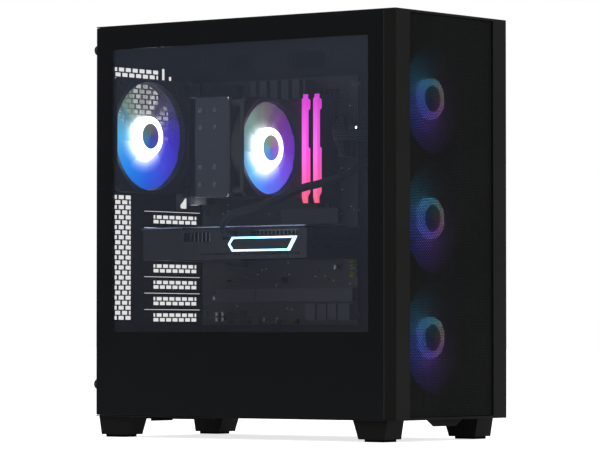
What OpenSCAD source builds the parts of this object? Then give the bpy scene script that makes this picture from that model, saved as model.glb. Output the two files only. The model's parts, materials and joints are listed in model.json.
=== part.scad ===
// Desktop computer tower: a mid-size steel case with a tempered glass side, a mesh
// front with three lit fans, and the computer that it holds.
// Front faces -Y, the glass side faces -X, the origin is on the floor under the middle.

/* [Case] */
// Width of the tower across its side panels
case_w = 225; // [222:1:245]
// Depth from the front face to the back of the side panels
case_d = 452; // [448:1:490]
// Height of the body without its feet
body_h = 475; // [472:1:510]
// Height of the feet with their pads
foot_h = 25; // [24:1:35]
// Thickness of the folded steel sheets
sheet = 1; // [0.8:0.1:1.2]
// Clearance between panels that slide past each other
panel_gap = 0.6; // [0.4:0.1:0.8]
// Depth of the front cover
bezel_d = 16; // [14:1:22]
// Height of the basement that holds the power supply
basement_h = 97; // [96:1:104]
// Space behind the motherboard tray for cables
cable_gap = 20.4; // [18:0.2:22]

/* [Glass side] */
// Thickness of the tempered glass
glass_t = 4; // [3:0.5:4.5]
// Opaque border of the glass along its front and rear edges
border_side = 26; // [20:1:40]
// Opaque border along the top edge
border_top = 27.5; // [20:0.5:40]
// Opaque border along the bottom edge, which hides the basement
border_bottom = 100.5; // [80:0.5:110]

/* [Front mesh] */
// Width of the perforated middle of the front cover
mesh_w = 169; // [140:1:190]
// Rim of the front cover above and below the mesh
mesh_rim = 3; // [2:0.5:8]
// How far the mesh sits behind the front face
mesh_recess = 1.5; // [0.5:0.5:3]
// Pitch of the mesh openings
mesh_pitch = 16; // [14:1:24]
// Width of the pull tab under the front cover
tab_w = 66; // [50:1:90]
// How far the pull tab reaches below the body
tab_drop = 8; // [5:1:12]

/* [Fans] */
// Side of the square case fans
case_fan = 140; // [136:1:140]
// Mounting hole pitch of the case fans
case_fan_pitch = 124.5; // [122:0.5:125]
// Side of the square cooler fan
cooler_fan = 120; // [112:1:122]
// Mounting hole pitch of the cooler fan
cooler_fan_pitch = 105; // [98:0.5:106]
// Thickness of every square fan
fan_d = 25; // [25:1:27]
// Outer diameter of the rotor hubs
hub_d = 49; // [44:1:54]
// Number of blades on a square fan
blade_count = 9; // [7:1:11]
// Gap between the blade tips and the duct
tip_gap = 1; // [0.8:0.1:2]
// Radius of the rotor shafts
shaft_r = 1.5; // [1.2:0.1:2]
// Running clearance of a shaft in its bearing
shaft_fit = 0.06; // [0.03:0.01:0.1]
// Distance between the front fans' centres
front_fan_pitch = 140.5; // [140.2:0.1:142]
// Height of the lowest front fan's centre above the body's underside
front_fan_z = 95.5; // [92:0.5:100]
// Height of the rear fan's centre above the body's underside
rear_fan_z = 344; // [338:0.5:348]

/* [Motherboard] */
// Length of the board along the rear wall
board_h = 305; // [303:1:306]
// Depth of the board from the rear wall towards the front
board_d = 244; // [240:1:248]
// Thickness of the board
board_t = 1.6; // [1.4:0.1:2]
// Height of the brass standoffs
standoff_h = 6.5; // [6:0.5:8]
// Distance between expansion slots
slot_pitch = 20.32; // [20.2:0.01:20.4]
// Distance between neighbouring memory slots
memory_pitch = 8.7; // [8.6:0.1:10]
// Height of a memory module above the board
memory_h = 45; // [38:1:48]

/* [Cooler] */
// Height of the cooler above the board
cooler_h = 155; // [150:1:158]
// Depth of the fin stack along the air flow
fin_depth = 50; // [46:1:56]
// Width of the fin stack across the air flow
fin_width = 120; // [112:1:122]
// Diameter of the heat pipes
pipe_d = 6; // [5:0.5:7]
// Distance between the fins
fin_pitch = 3.2; // [2.8:0.1:4]

/* [Graphics card] */
// Length of the card from its bracket
card_l = 265; // [258:1:290]
// Height of the card above the board
card_h = 122; // [118:1:128]
// Thickness of the card with its cooler
card_t = 40; // [39:0.5:41]
// Diameter of the card's two fans
card_fan = 90; // [84:1:94]

/* [Power supply] */
// Width of the power supply
psu_w = 150; // [140:1:152]
// Height of the power supply
psu_h = 86; // [84:1:88]
// Length of the power supply
psu_l = 140; // [138:1:150]

/* [Hidden] */
$fn = 48;

// ---- Where the main planes lie ----
screw_proud = 8;                                // thumbscrew heads behind the panels
front_y = -(case_d + screw_proud) / 2;
rear_y = front_y + case_d;
seam_y = front_y + bezel_d;                     // back of the front cover
wall_out = rear_y - sheet;                      // outer face of the rear wall
wall_in = wall_out - sheet;                     // inner face of the rear wall
left_x = -case_w / 2;
right_x = case_w / 2;
floor_z = foot_h;                               // underside of the body
top_z = foot_h + body_h;
left_in = left_x + glass_t + sheet;             // inner face of the window's frame
right_in = right_x - sheet;                     // inner face of the right panel
frame_l = left_in + panel_gap;                  // chassis sheets end here
frame_r = right_in - panel_gap;
panel_z0 = floor_z + sheet + panel_gap;         // lower edge of the side panels
panel_z1 = top_z - sheet - panel_gap;           // upper edge of the side panels
panel_y0 = seam_y + panel_gap;
inner_z0 = floor_z + sheet;
inner_z1 = top_z - sheet;
tray_x = right_in - cable_gap - sheet;          // board side of the tray
board_back = tray_x - standoff_h;
board_x = board_back - board_t;                 // component side of the board
shroud_z = floor_z + basement_h;                // top of the basement cover
board_z0 = shroud_z + 14.5;
board_z1 = board_z0 + board_h;
board_y1 = wall_in - 7;
board_y0 = board_y1 - board_d;
slot_count = 7;
last_slot_z = board_z0 + 9.4;
io_h = 158.75;                                  // standard port cut-out
io_w = 44.45;
io_z0 = last_slot_z + (slot_count - 1) * slot_pitch + 13.2;
io_x1 = board_x + 2;
fan_gap = 0.2;                                  // from the rear fan to the lip of the rear panel
rear_fan_x = frame_l + sheet + fan_gap + case_fan / 2;
rear_fan_cz = floor_z + rear_fan_z;
front_fan_y = seam_y + 6 + sheet;               // intake face of the front fans
rear_fan_y = wall_in - fan_d;
fan_hole_r = 2.15;
shelf_x = board_x - 106;                        // ledge that the bracket tabs rest on
shelf_d = 8;

function pcb_z(i) = slot_z(i) + 5;               // a card's board lies above its cover
function slot_z(i) = last_slot_z + (slot_count - i) * slot_pitch;
function front_fan_cz(i) = floor_z + front_fan_z + i * front_fan_pitch;

// ---- Shared shapes ----
// A box between two opposite corners
module box(a, b) { translate(a) cube(b - a); }
module rect(x0, y0, x1, y1) { translate([x0, y0]) square([x1 - x0, y1 - y0]); }

// Plates of thickness t drawn in the plane that they lie in
module xy_plate(z, t) { translate([0, 0, z]) linear_extrude(t) children(); }
module xz_plate(y, t) { translate([0, y + t, 0]) rotate([90, 0, 0]) linear_extrude(t) children(); }
module yz_plate(x, t) { translate([x, 0, 0]) rotate([90, 0, 90]) linear_extrude(t) children(); }

// A rectangle with its corners cut off
module cut_rect(x0, y0, x1, y1, c) {
    polygon([[x0 + c, y0], [x1 - c, y0], [x1, y0 + c], [x1, y1 - c],
             [x1 - c, y1], [x0 + c, y1], [x0, y1 - c], [x0, y0 + c]]);
}

// Vents punched like courses of bricks between x0 and x1; every second course is shifted
// by half a brick, and shift is 1 where the first one is
brick_gap = 2.3;
module bricks(x0, x1, z0, rows, pitch, shift = 0, w = 10.8, h = 4.8, gap = brick_gap) {
    for (r = [0 : rows - 1], i = [0 : ceil((x1 - x0) / (w + gap))]) {
        left = x0 + (i - ((r + shift) % 2) / 2) * (w + gap);
        a = max(x0, left);
        b = min(x1, left + w);
        if (b - a > 2) rect(a, z0 + r * pitch, b, z0 + r * pitch + h);
    }
}

module four_holes(pitch, r) {
    for (x = [-1, 1], z = [-1, 1]) translate([x, z] * pitch / 2) circle(r, $fn = 24);
}

// Turns a part whose axis is Z so that it points to the rear wall
module facing_back(p) { translate(p) rotate([-90, 0, 0]) children(); }

// ---- Square fans: the intake face is at z = 0 and the air goes to +Z ----
hub_r = hub_d / 2;
hub_z0 = 4.5;                                   // hub cap behind the intake face
cup_wall = 2;
flange_t = 4;
base_t = 3.5;
tube_z0 = hub_z0 + 5.5;                         // front end of the bearing tube
flare_d = 4.5;                                  // depth of the flared intake

module fan_frame(side, pitch, depth) {
    duct_r = side / 2 - 3;
    difference() {
        union() {
            for (z = [[0, flare_d + 1], [depth - flange_t, flange_t]])
                translate([0, 0, z[0]]) linear_extrude(z[1])
                    cut_rect(-side / 2, -side / 2, side / 2, side / 2, 6);
            translate([0, 0, 1]) cylinder(r = duct_r + 2, h = depth - 2);
            for (x = [-1, 1], y = [-1, 1]) translate([x * pitch / 2, y * pitch / 2, 1])
                cylinder(r = fan_hole_r + 2, h = depth - 2, $fn = 24);
        }
        translate([0, 0, -1]) cylinder(r = duct_r, h = depth + 2, $fn = 96);
        // the intake flares into the corners and is cut off short of the four sides
        intersection() {
            cylinder(r1 = side / 2 + 6, r2 = duct_r, h = flare_d, $fn = 96);
            translate([1 - side / 2, 1 - side / 2, -1]) cube([side - 2, side - 2, depth]);
        }
        translate([0, 0, -1]) linear_extrude(depth + 2) four_holes(pitch, fan_hole_r);
    }
    // four struts with the motor base, and the bearing tube on it
    translate([0, 0, depth - base_t]) linear_extrude(base_t) difference() {
        union() {
            circle(hub_r - 1);
            for (a = [45 : 90 : 315]) rotate(a) rect(hub_r - 3, -2.5, duct_r + 1, 2.5);
        }
        circle(shaft_r + shaft_fit);
    }
    difference() {
        translate([0, 0, tube_z0])
            cylinder(r = hub_r - cup_wall - 2.5, h = depth - base_t + 0.5 - tube_z0);
        translate([0, 0, tube_z0 - 1]) cylinder(r = shaft_r + shaft_fit, h = depth);
    }
}

// Blades are bowed strips laid out along the radius and trimmed by the tip circle
module fan_rotor(side, depth, count, hub = hub_r) {
    tip_r = side / 2 - 3 - tip_gap;
    cup_h = depth - base_t - 1.5 - hub_z0;
    lean = cup_h * 0.82;
    translate([0, 0, hub_z0]) rotate_extrude() polygon([
        [0, 0], [hub - 7.5, 0], [hub - 2, 1.8], [hub, 5], [hub, cup_h],
        [hub - cup_wall, cup_h], [hub - cup_wall, 5.2], [hub - 4.5, 3], [shaft_r + 1.5, 3],
        [shaft_r + 1.5, 4.2], [shaft_r, 4.2], [shaft_r, cup_h], [0, cup_h]]);
    for (i = [0 : count - 1]) rotate(i * 360 / count) intersection() {
        translate([0, 0, hub_z0]) cylinder(r = tip_r, h = cup_h, $fn = 96);
        translate([hub - cup_wall + 0.3, 0, hub_z0 + cup_h / 2]) rotate([90, 0, 90]) linear_extrude(tip_r)
                polygon([[-lean / 2, -cup_h / 2 + 2.5], [-lean / 6, -cup_h / 5 + 1.2],
                         [lean / 5, cup_h / 5], [lean / 2, cup_h / 2 - 1.2],
                         [lean / 2 - 1.4, cup_h / 2 - 0.6], [lean / 5 - 1.3, cup_h / 5 + 1],
                         [-lean / 6 - 1.2, -cup_h / 5 + 2.2], [-lean / 2 - 0.9, -cup_h / 2 + 3.7]]);
    }
}

// ---- Chassis ----
vent_step = 13.1;                               // width of a brick with its gap
vent_pitch = 6.3;                               // height of a course with its gap
vent_x = rear_fan_x - 50;
vent_z = rear_fan_cz - 65.8;
psu_x0 = -68;
psu_x1 = psu_x0 + psu_w;
psu_z0 = inner_z0 + 3;                          // pads under the power supply
psu_z1 = psu_z0 + psu_h;
psu_y0 = wall_in - psu_l;
psu_cy = psu_y0 + psu_l / 2;
psu_cx = (psu_x0 + psu_x1) / 2;
screw_z = [floor_z + 39, top_z - 28];           // thumbscrews of both side panels
left_screw_x = frame_l + 5;
right_screw_x = frame_r - 5;
lip = 12;
cover_half_h = 9.2;                             // half height of a slot cover
slit_top = cover_half_h + 0.7;                  // a thin slit stays open above each cover

module rear_panel() {
    color("#232427") {
        xz_plate(wall_in, sheet) difference() {
            rect(frame_l, inner_z0, frame_r, inner_z1);
            // one field of vents behind the fan, wider in its middle: first course, courses, bricks
            for (f = [[0, 4, 7], [4, 13, 8.5], [17, 7, 7]])
                bricks(vent_x, vent_x + f[2] * vent_step - brick_gap, vent_z + f[0] * vent_pitch, f[1],
                       vent_pitch, (f[0] + 1) % 2);
            // upright slots, in which a fan of either size is screwed on higher or lower
            translate([rear_fan_x, rear_fan_cz]) {
                for (s = [-1, 1]) {
                    rect(s * case_fan_pitch / 2 - 2.7, 56, s * case_fan_pitch / 2 + 2.7, 77.5);
                    rect(s * case_fan_pitch / 2 - 2.7, -67, s * case_fan_pitch / 2 + 2.7, -56);
                }
                for (z = [44.6, -67]) rect(46.2, z, 51.8, z + (z > 0 ? 42 : 25));
            }
            rect(io_x1 - io_w, io_z0, io_x1, io_z0 + io_h);
            for (i = [1 : slot_count])
                rect(shelf_x - 1.2, slot_z(i) - 7.8, board_x + 4, slot_z(i) + slit_top);
            bricks(frame_l + 8, frame_l + 8 + 4 * vent_step - brick_gap, board_z0 + 6.1, 25, 6.18);
            rect(psu_x0 + 5, psu_z0 + 4, psu_x1 - 5, psu_z1 - 4);
            for (z = screw_z, x = [left_screw_x, right_screw_x])
                translate([x, z]) circle(1.9, $fn = 24);
        }
        // forward lips that the side panels close against
        box([frame_l, wall_in - 6, inner_z0], [frame_l + sheet, wall_in, inner_z1]);
        box([frame_r - sheet, wall_in - lip, inner_z0], [frame_r, wall_in, inner_z1]);
        // ledge for the bracket tabs
        box([shelf_x, wall_out - 0.5, slot_z(slot_count) - 11],
            [shelf_x + sheet, wall_out + shelf_d, slot_z(1) + 11]);
    }
}

tray_y0 = seam_y + 38;
port_h = 14;                                    // depth of the ports' housing

module motherboard_tray() {
    color("#2b2c30") {
        yz_plate(tray_x, sheet) difference() {
            rect(tray_y0, inner_z0, wall_in, inner_z1);
            // corner left free for the ports in the top panel
            rect(tray_y0 - 1, inner_z1 - port_h - 2, port_y[3] + 12, inner_z1 + 1);
            // opening behind the processor
            cut_rect(board_y1 - 205, board_z1 - 165, board_y1 - 70, board_z1 - 22, 6);
            // cable openings in front of the board and above it
            cut_rect(board_y0 - 42, board_z0 + 160, board_y0 - 16, board_z0 + 264, 5);
            cut_rect(board_y0 - 42, board_z0 + 52, board_y0 - 16, board_z0 + 130, 5);
            cut_rect(board_y1 - 75, board_z1 + 12, board_y1 - 35, board_z1 + 34, 5);
            cut_rect(board_y1 - 190, board_z1 + 12, board_y1 - 130, board_z1 + 34, 5);
            cut_rect(psu_y0 - 60, inner_z0 + 12, psu_y0 - 8, shroud_z - 14, 5);
        }
        // strip that the front edge is folded into
        box([tray_x, tray_y0, inner_z0], [tray_x + 10, tray_y0 + sheet, inner_z1 - port_h - 2]);
    }
}

vent_x0 = frame_l + 24;
vent_x1 = tray_x - 16;
vent_y0 = seam_y + 40;
vent_y1 = wall_in - 30;
dish = 2;                                       // depth of the tray for the top filter

module top_panel() {
    color("#1d1e20") {
        xy_plate(inner_z1, sheet) difference() {
            rect(left_x, seam_y, right_x, rear_y);
            rect(vent_x0, vent_y0, vent_x1, vent_y1);
            translate([port_x, 0]) port_strip();
        }
        xy_plate(inner_z1 - dish, sheet) difference() {
            rect(vent_x0 - sheet, vent_y0 - sheet, vent_x1 + sheet, vent_y1 + sheet);
            columns = floor((vent_x1 - vent_x0 - 12) / 22);
            rows = floor((vent_y1 - vent_y0 - 12) / 9);
            for (i = [0 : columns - 1], j = [0 : rows - 1])
                translate([(vent_x0 + vent_x1) / 2 + (i - (columns - 1) / 2) * 22,
                           (vent_y0 + vent_y1) / 2 + (j - (rows - 1) / 2) * 9])
                    square([18, 5.6], center = true);
        }
        xy_plate(inner_z1 - dish, dish + 0.2) difference() {
            rect(vent_x0 - sheet, vent_y0 - sheet, vent_x1 + sheet, vent_y1 + sheet);
            rect(vent_x0, vent_y0, vent_x1, vent_y1);
        }
        // lips that hang down inside the side panels
        box([frame_l, front_fan_y, inner_z1 - lip], [frame_l + sheet, wall_in - 6.2, inner_z1 + 0.2]);
        box([frame_r - sheet, front_fan_y, inner_z1 - lip], [frame_r, wall_in - lip - 0.2, inner_z1 + 0.2]);
    }
}

filter_w = 124;                                 // dust filter under the power supply
filter_y0 = psu_cy - 66;
module bottom_pan() {
    color("#1d1e20") {
        xy_plate(floor_z, sheet) difference() {
            rect(left_x, seam_y, right_x, rear_y);
            // vent under the power supply's fan
            for (i = [-3 : 3], j = [-6 : 6])
                translate([psu_cx + i * 17, psu_cy + j * 9.5]) square([13.5, 6], center = true);
        }
        box([frame_l, front_fan_y, floor_z + 0.8], [frame_l + sheet, wall_in - 6.2, inner_z0 + 10]);
        box([frame_r - sheet, front_fan_y, floor_z + 0.8], [frame_r, wall_in - lip - 0.2, inner_z0 + 10]);
        // rails that the dust filter slides in
        for (s = [-1, 1]) {
            x = psu_cx + s * (filter_w / 2 + 0.3);
            box([min(x, x + s * 1.6), filter_y0, floor_z - 3.5],
                [max(x, x + s * 1.6), rear_y - 2, floor_z + 0.2]);
            box([min(x - s * 2.3, x + s), filter_y0, floor_z - 3.5],
                [max(x - s * 2.3, x + s), rear_y - 2, floor_z - 2.5]);
        }
        // raised pads that carry the power supply
        for (x = [psu_x0 + 6, psu_x1 - 18], y = [psu_y0 + 4, wall_in - 16])
            box([x, y, floor_z + 0.8], [x + 12, y + 12, psu_z0]);
    }
}

module front_frame() {
    color("#232427") {
        xz_plate(front_fan_y - sheet, sheet) difference() {
            rect(frame_l, inner_z0, frame_r, inner_z1);
            for (i = [0 : 2]) translate([0, front_fan_cz(i)]) {
                circle(case_fan / 2 - 4, $fn = 96);
                four_holes(case_fan_pitch, fan_hole_r);
            }
            // sockets for the clips of the front cover
            for (x = [-1, 1], z = clip_z) translate([x * clip_x, z]) square([5, 9], center = true);
        }
        for (x = [frame_l, frame_r - sheet])
            box([x, seam_y, inner_z0], [x + sheet, front_fan_y - 0.5, inner_z1]);
    }
}

module psu_shroud() {
    color("#202124") {
        xy_plate(shroud_z - sheet, sheet) difference() {
            rect(frame_l, tray_y0 + 2, tray_x, wall_in);
            // slots under the graphics card and a gap for the lower board cables
            for (i = [0 : 13]) rect(-62 + i * 9, 20, -58 + i * 9, 110);
            rect(tray_x - 14, board_y0 + 10, tray_x - 4, board_y0 + 60);
        }
        box([frame_l, tray_y0 + 2, inner_z0 + 10.2], [frame_l + sheet, wall_in - 6.2, shroud_z - 0.5]);
    }
}

module slot_covers() {
    color("#232427") for (i = [1, 4, 5, 6, 7]) {
        xz_plate(wall_in - sheet, sheet) difference() {
            rect(shelf_x - 1, slot_z(i) - cover_half_h, board_x + 6, slot_z(i) + cover_half_h);
            bricks(board_x - 89, board_x - 3.9, slot_z(i) - 5.2, 2, 5.8, 0, 10.7, 4.3, 1.7);
        }
        box([shelf_x - sheet, wall_in - 0.5, slot_z(i) - 7.2],
            [shelf_x, wall_out + shelf_d, slot_z(i) + 7.2]);
    }
}

// The standard mounting pattern of the board, from its rear top corner
board_holes = [for (z = [10.16, 165.1, 292.1], y = [board_y1 - 6.35, board_y1 - 163.83, board_y0 + 6.5])
    [y, board_z1 - z]];

module case_screws() {
    color("#b9a35c") for (p = board_holes) {
        translate([board_back, p[0], p[1]]) rotate([0, 90, 0]) cylinder(r = 2.9, h = standoff_h, $fn = 6);
        translate([board_x - 2, p[0], p[1]]) rotate([0, 90, 0]) cylinder(r = 3.2, h = 2, $fn = 24);
        translate([board_x - 0.5, p[0], p[1]])
            rotate([0, 90, 0]) cylinder(r = 1.5, h = board_t + 1, $fn = 24);
    }
    color("#8e9094") {
        for (i = [1 : slot_count])
            translate([shelf_x - sheet - 2, wall_out + shelf_d / 2, slot_z(i) - 4.2])
                rotate([0, 90, 0]) cylinder(r = 2.9, h = 2, $fn = 24);
        for (x = [-1, 1], z = [-1, 1])
            translate([rear_fan_x + x * case_fan_pitch / 2, wall_out, rear_fan_cz + z * case_fan_pitch / 2])
                rotate([-90, 0, 0]) cylinder(r = 4, h = 1.6, $fn = 24);
        for (x = [psu_x0 + 2.4, psu_x1 - 2.4], z = [psu_z0 + 8, psu_z1 - 8])
            translate([x, wall_out, z]) rotate([-90, 0, 0]) cylinder(r = 2.2, h = 1.8, $fn = 24);
    }
}

cage_x = 55;                                    // half width of the drive cage
cage_y1 = psu_y0 - 66;
cage_y0 = cage_y1 - 104;
drive_x = 50.8;                                 // half width of a 3.5 inch drive
drive_h = 25;

module drive_cage() {
    z1 = inner_z0 + 60;
    color("#2b2c30") difference() {
        box([-cage_x, cage_y0, inner_z0], [cage_x, cage_y1, z1]);
        box([sheet - cage_x, cage_y0 - 1, inner_z0 + sheet], [cage_x - sheet, cage_y1 + 1, z1 - sheet]);
        for (y = [cage_y0 + 16 : 24 : cage_y1 - 20])
            box([-cage_x - 1, y, inner_z0 + 12], [cage_x + 1, y + 14, z1 - 12]);
    }
    // a drive on two runners
    color("#8a8d92") difference() {
        union() {
            box([-drive_x, cage_y0 + 6, inner_z0 + 4], [drive_x, cage_y1 - 4, inner_z0 + 4 + drive_h]);
            for (m = [0, 1]) mirror([m, 0, 0])
                box([drive_x, cage_y0 + 6, inner_z0 + sheet], [cage_x - sheet, cage_y1 - 4, inner_z0 + 12]);
        }
        box([-44, cage_y0 + 12, inner_z0 + 3 + drive_h], [44, cage_y1 - 30, inner_z0 + 5 + drive_h]);
    }
}

foot_x0 = right_x - 38;
foot_x1 = right_x - 6;
module foot_profile(y0, y1, lean0, lean1, z0, z1) {
    polygon([[y0 + lean0, z0], [y1 - lean1, z0], [y1, z1], [y0, z1]]);
}
module feet() {
    color("#1a1a1c") for (m = [0, 1]) mirror([m, 0, 0]) {
        yz_plate(foot_x0, foot_x1 - foot_x0) foot_profile(seam_y, seam_y + 50, 4, 8, 3, floor_z);
        yz_plate(foot_x0, foot_x1 - foot_x0) foot_profile(rear_y - 50, rear_y, 8, 4, 3, floor_z);
    }
}
module foot_pads() {
    color("#101011") for (x = [-1, 1], y = [seam_y + 22, rear_y - 22])
        translate([x * (foot_x0 + foot_x1) / 2 - 12, y - 14, 0]) cube([24, 28, 3]);
}

// ---- Buttons and ports in the top panel, beside the filter ----
port_x = (vent_x1 + right_x) / 2;
button_y = seam_y + 26;
port_y = [seam_y + 48, seam_y + 66, seam_y + 83, seam_y + 97];
button_r = 8;
button_fit = 0.3;
button_travel = 1.5;
stem_r = 1.2;
collar_z = inner_z1 - 10.6;                     // underside of the button's collar at rest
port_strip_r = 9.4;                             // half the width of the sockets' faceplate

// Outline of the faceplate around the button and the sockets, which fills its cut-out
module port_strip(fit = 0) {
    for (y = [button_y - 1, port_y[3]]) translate([0, y]) circle(port_strip_r - fit);
    rect(fit - port_strip_r, button_y - 1, port_strip_r - fit, port_y[3]);
}

module top_ports() {
    z0 = inner_z1 - port_h;
    color("#141416") translate([port_x, 0, 0]) {
        difference() {
            union() {
                box([-10, button_y - 12, z0], [10, port_y[3] + 10, inner_z1]);
                xy_plate(inner_z1 - 0.2, sheet + 0.2) port_strip(0.1);
            }
            translate([0, button_y, inner_z1 - 6]) cylinder(r = button_r + button_fit, h = 8);
            translate([0, button_y, collar_z]) cylinder(r = stem_r + 0.3, h = 12, $fn = 24);
            // the collar's hollow, as high as the button's travel asks
            translate([0, button_y, collar_z - button_travel - 0.1])
                cylinder(r = 4, h = button_travel + 1.2, $fn = 24);
            for (i = [0, 1])
                box([-2.8, port_y[i] - 6.5, inner_z1 - 10], [2.8, port_y[i] + 6.5, inner_z1 + 2]);
            box([-1.7, port_y[2] - 4.5, inner_z1 - 8], [1.7, port_y[2] + 4.5, inner_z1 + 2]);
            translate([0, port_y[3], inner_z1 - 12]) cylinder(r = 1.8, h = 14, $fn = 24);
        }
        // tongues of the sockets
        for (i = [0, 1]) box([0.3, port_y[i] - 5.5, inner_z1 - 10.5], [2.1, port_y[i] + 5.5, inner_z1 - 1]);
        box([-0.4, port_y[2] - 3.2, inner_z1 - 8.5], [0.4, port_y[2] + 3.2, inner_z1 - 1]);
    }
}

// A cap on a stem; the collar keeps it in its housing
module power_button() {
    color("#2a2b2e") translate([port_x, button_y, 0]) {
        translate([0, 0, inner_z1 - 3]) cylinder(r = button_r, h = 3 + sheet);
        translate([0, 0, collar_z + 0.6]) cylinder(r = stem_r, h = 8, $fn = 24);
        translate([0, 0, collar_z]) cylinder(r = 3, h = 1, $fn = 24);
    }
}

// ---- Case fans ----
module front_fan_frames() {
    color("#17181b") for (i = [0 : 2]) facing_back([0, front_fan_y, front_fan_cz(i)])
        fan_frame(case_fan, case_fan_pitch, fan_d);
}
module rear_fan_frame() {
    color("#17181b") facing_back([rear_fan_x, rear_fan_y, rear_fan_cz])
        fan_frame(case_fan, case_fan_pitch, fan_d);
}
module front_rotor(i) {
    color("#b7d4f2") facing_back([0, front_fan_y, front_fan_cz(i)]) fan_rotor(case_fan, fan_d, blade_count);
}
module front_rotor_bottom() { front_rotor(0); }
module front_rotor_middle() { front_rotor(1); }
module front_rotor_top() { front_rotor(2); }
module rear_rotor() {
    color("#b7d4f2") facing_back([rear_fan_x, rear_fan_y, rear_fan_cz])
        fan_rotor(case_fan, fan_d, blade_count);
}

// ---- Power supply ----
psu_fan = 120;
psu_fan_z = psu_z0 + sheet;                     // intake face of its fan
inlet_x = psu_x0 + 32;
inlet_z = (psu_z0 + psu_z1) / 2 + 8;
switch_x = inlet_x + 30;

module psu_case() {
    color("#1b1c1e") {
        difference() {
            box([psu_x0, psu_y0, psu_z0], [psu_x1, wall_in, psu_z1]);
            box([psu_x0 + sheet, psu_y0 + sheet, psu_z0 + sheet],
                [psu_x1 - sheet, wall_in - sheet, psu_z1 - sheet]);
            // fan opening
            translate([psu_cx, psu_cy, psu_z0 - 1]) cylinder(r = psu_fan / 2 - 3, h = 3, $fn = 96);
            // rear face: inlet, switch and the exhaust grid
            box([inlet_x - 13.8, wall_in - 2, inlet_z - 10.2],
                [inlet_x + 13.8, wall_in + 1, inlet_z + 10.2]);
            box([switch_x - 6.5, wall_in - 2, inlet_z - 9.5], [switch_x + 6.5, wall_in + 1, inlet_z + 9.5]);
            translate([0, wall_in + 1, 0]) rotate([90, 0, 0]) linear_extrude(3) {
                for (i = [0 : 6], j = [0 : 7])
                    translate([psu_x1 - 14 - i * 8.6, psu_z0 + 12 + j * 8.6]) circle(3.4, $fn = 6);
            }
            // cable opening
            box([psu_x1 - 60, psu_y0 - 1, psu_z0 + 20], [psu_x1 - 16, psu_y0 + 2, psu_z0 + 52]);
        }
        // wire grille: three rings on four spokes
        translate([psu_cx, psu_cy, psu_z0]) {
            linear_extrude(sheet) {
                for (r = [18, 32, 46]) difference() { circle(r + 0.8); circle(r - 0.8); }
                for (a = [0 : 90 : 270]) rotate(a) rect(17.6, -0.8, psu_fan / 2 - 2.5, 0.8);
            }
            translate([0, 0, sheet]) fan_frame(psu_fan, cooler_fan_pitch, fan_d);
        }
    }
}
module psu_rotor() {
    color("#2a2b2e") translate([psu_cx, psu_cy, psu_fan_z]) fan_rotor(psu_fan, fan_d, 7, hub_r);
}
rocker_y = wall_in - 1;
rocker_tilt = 7;
module psu_inlet() {
    color("#101012") {
        difference() {
            box([inlet_x - 13.8, wall_in - 16, inlet_z - 10.2],
                [inlet_x + 13.8, wall_in + 0.8, inlet_z + 10.2]);
            box([inlet_x - 12, wall_in - 14, inlet_z - 8.2], [inlet_x + 12, wall_in + 2, inlet_z + 8.2]);
        }
        for (p = [[-7, -2], [0, 2], [7, -2]])
            box([inlet_x + p[0] - 1, wall_in - 14.5, inlet_z + p[1] - 1.5],
                [inlet_x + p[0] + 1, wall_in - 2, inlet_z + p[1] + 1.5]);
        // housing of the switch
        difference() {
            box([switch_x - 6.5, wall_in - 10, inlet_z - 9.5],
                [switch_x + 6.5, wall_in + 0.8, inlet_z + 9.5]);
            box([switch_x - 5.2, wall_in - 9, inlet_z - 8.6], [switch_x + 5.2, wall_in + 2, inlet_z + 8.6]);
            translate([switch_x - 5.9, rocker_y, inlet_z])
                rotate([0, 90, 0]) cylinder(r = 1.06, h = 11.8, $fn = 24);
        }
    }
}
// A rocker on a pin: its low half shows which way it is switched
module psu_switch() {
    color("#151517") translate([switch_x, rocker_y, inlet_z]) rotate([rocker_tilt, 0, 0]) {
        rotate([90, 0, 90]) translate([0, 0, -5]) linear_extrude(10)
            polygon([[-4, -3], [-4, 3], [1.2, 7.6], [2.4, 7.9], [1.5, 0], [2.4, -7.9], [1.2, -7.6]]);
        rotate([0, 90, 0]) translate([0, 0, -5.8]) cylinder(r = 1, h = 11.6, $fn = 24);
    }
}

// ---- Motherboard ----
cpu_y = board_y0 + 103.8;
cpu_z = board_z1 - 91.5;
socket_h = 5;
chip_y = board_y0 + 38;
chip_z = last_slot_z + 5;

module motherboard() {
    color("#20222b") yz_plate(board_x, board_t) difference() {
        rect(board_y0, board_z0, board_y1, board_z1);
        for (p = board_holes) translate(p) circle(1.9, $fn = 24);
    }
}

// Sockets that reach through the port plate, from the lower end up
module rear_ports() {
    y0 = wall_in - 26;
    port_plan = [[6, 14, 15], [28, 16, 15], [46, 14, 15], [62, 16, 15], [80, 16, 15], [98, 14, 15],
        [116, 26, 12]];
    color("#9da0a5") {
        xz_plate(wall_in - 0.5, 0.5) difference() {
            rect(io_x1 - io_w - 1.5, io_z0 - 1.5, io_x1 + 1.5, io_z0 + io_h + 1.5);
            for (p = port_plan)
                rect(board_x - 0.4 - p[2], io_z0 + p[0], board_x - 0.4, io_z0 + p[0] + p[1]);
            // cut-out for an aerial, rounded on one side
            translate([io_x1 - 26, io_z0 + 1.4])
                polygon([[-10.7, 0], [0, 0], [0, 13.1], [-3, 12.6], [-8.5, 6.8], [-11.5, 5], [-11.7, 2]]);
        }
    }
    color("#2f3238") for (p = port_plan) difference() {
        box([board_x - p[2], y0, io_z0 + p[0] + 0.4], [board_x, wall_out, io_z0 + p[0] + p[1] - 0.4]);
        box([board_x - p[2] + 1.2, y0 + 10, io_z0 + p[0] + 1.8],
            [board_x - 1.8, wall_out + 1, io_z0 + p[0] + p[1] - 1.8]);
    }
}

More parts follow.
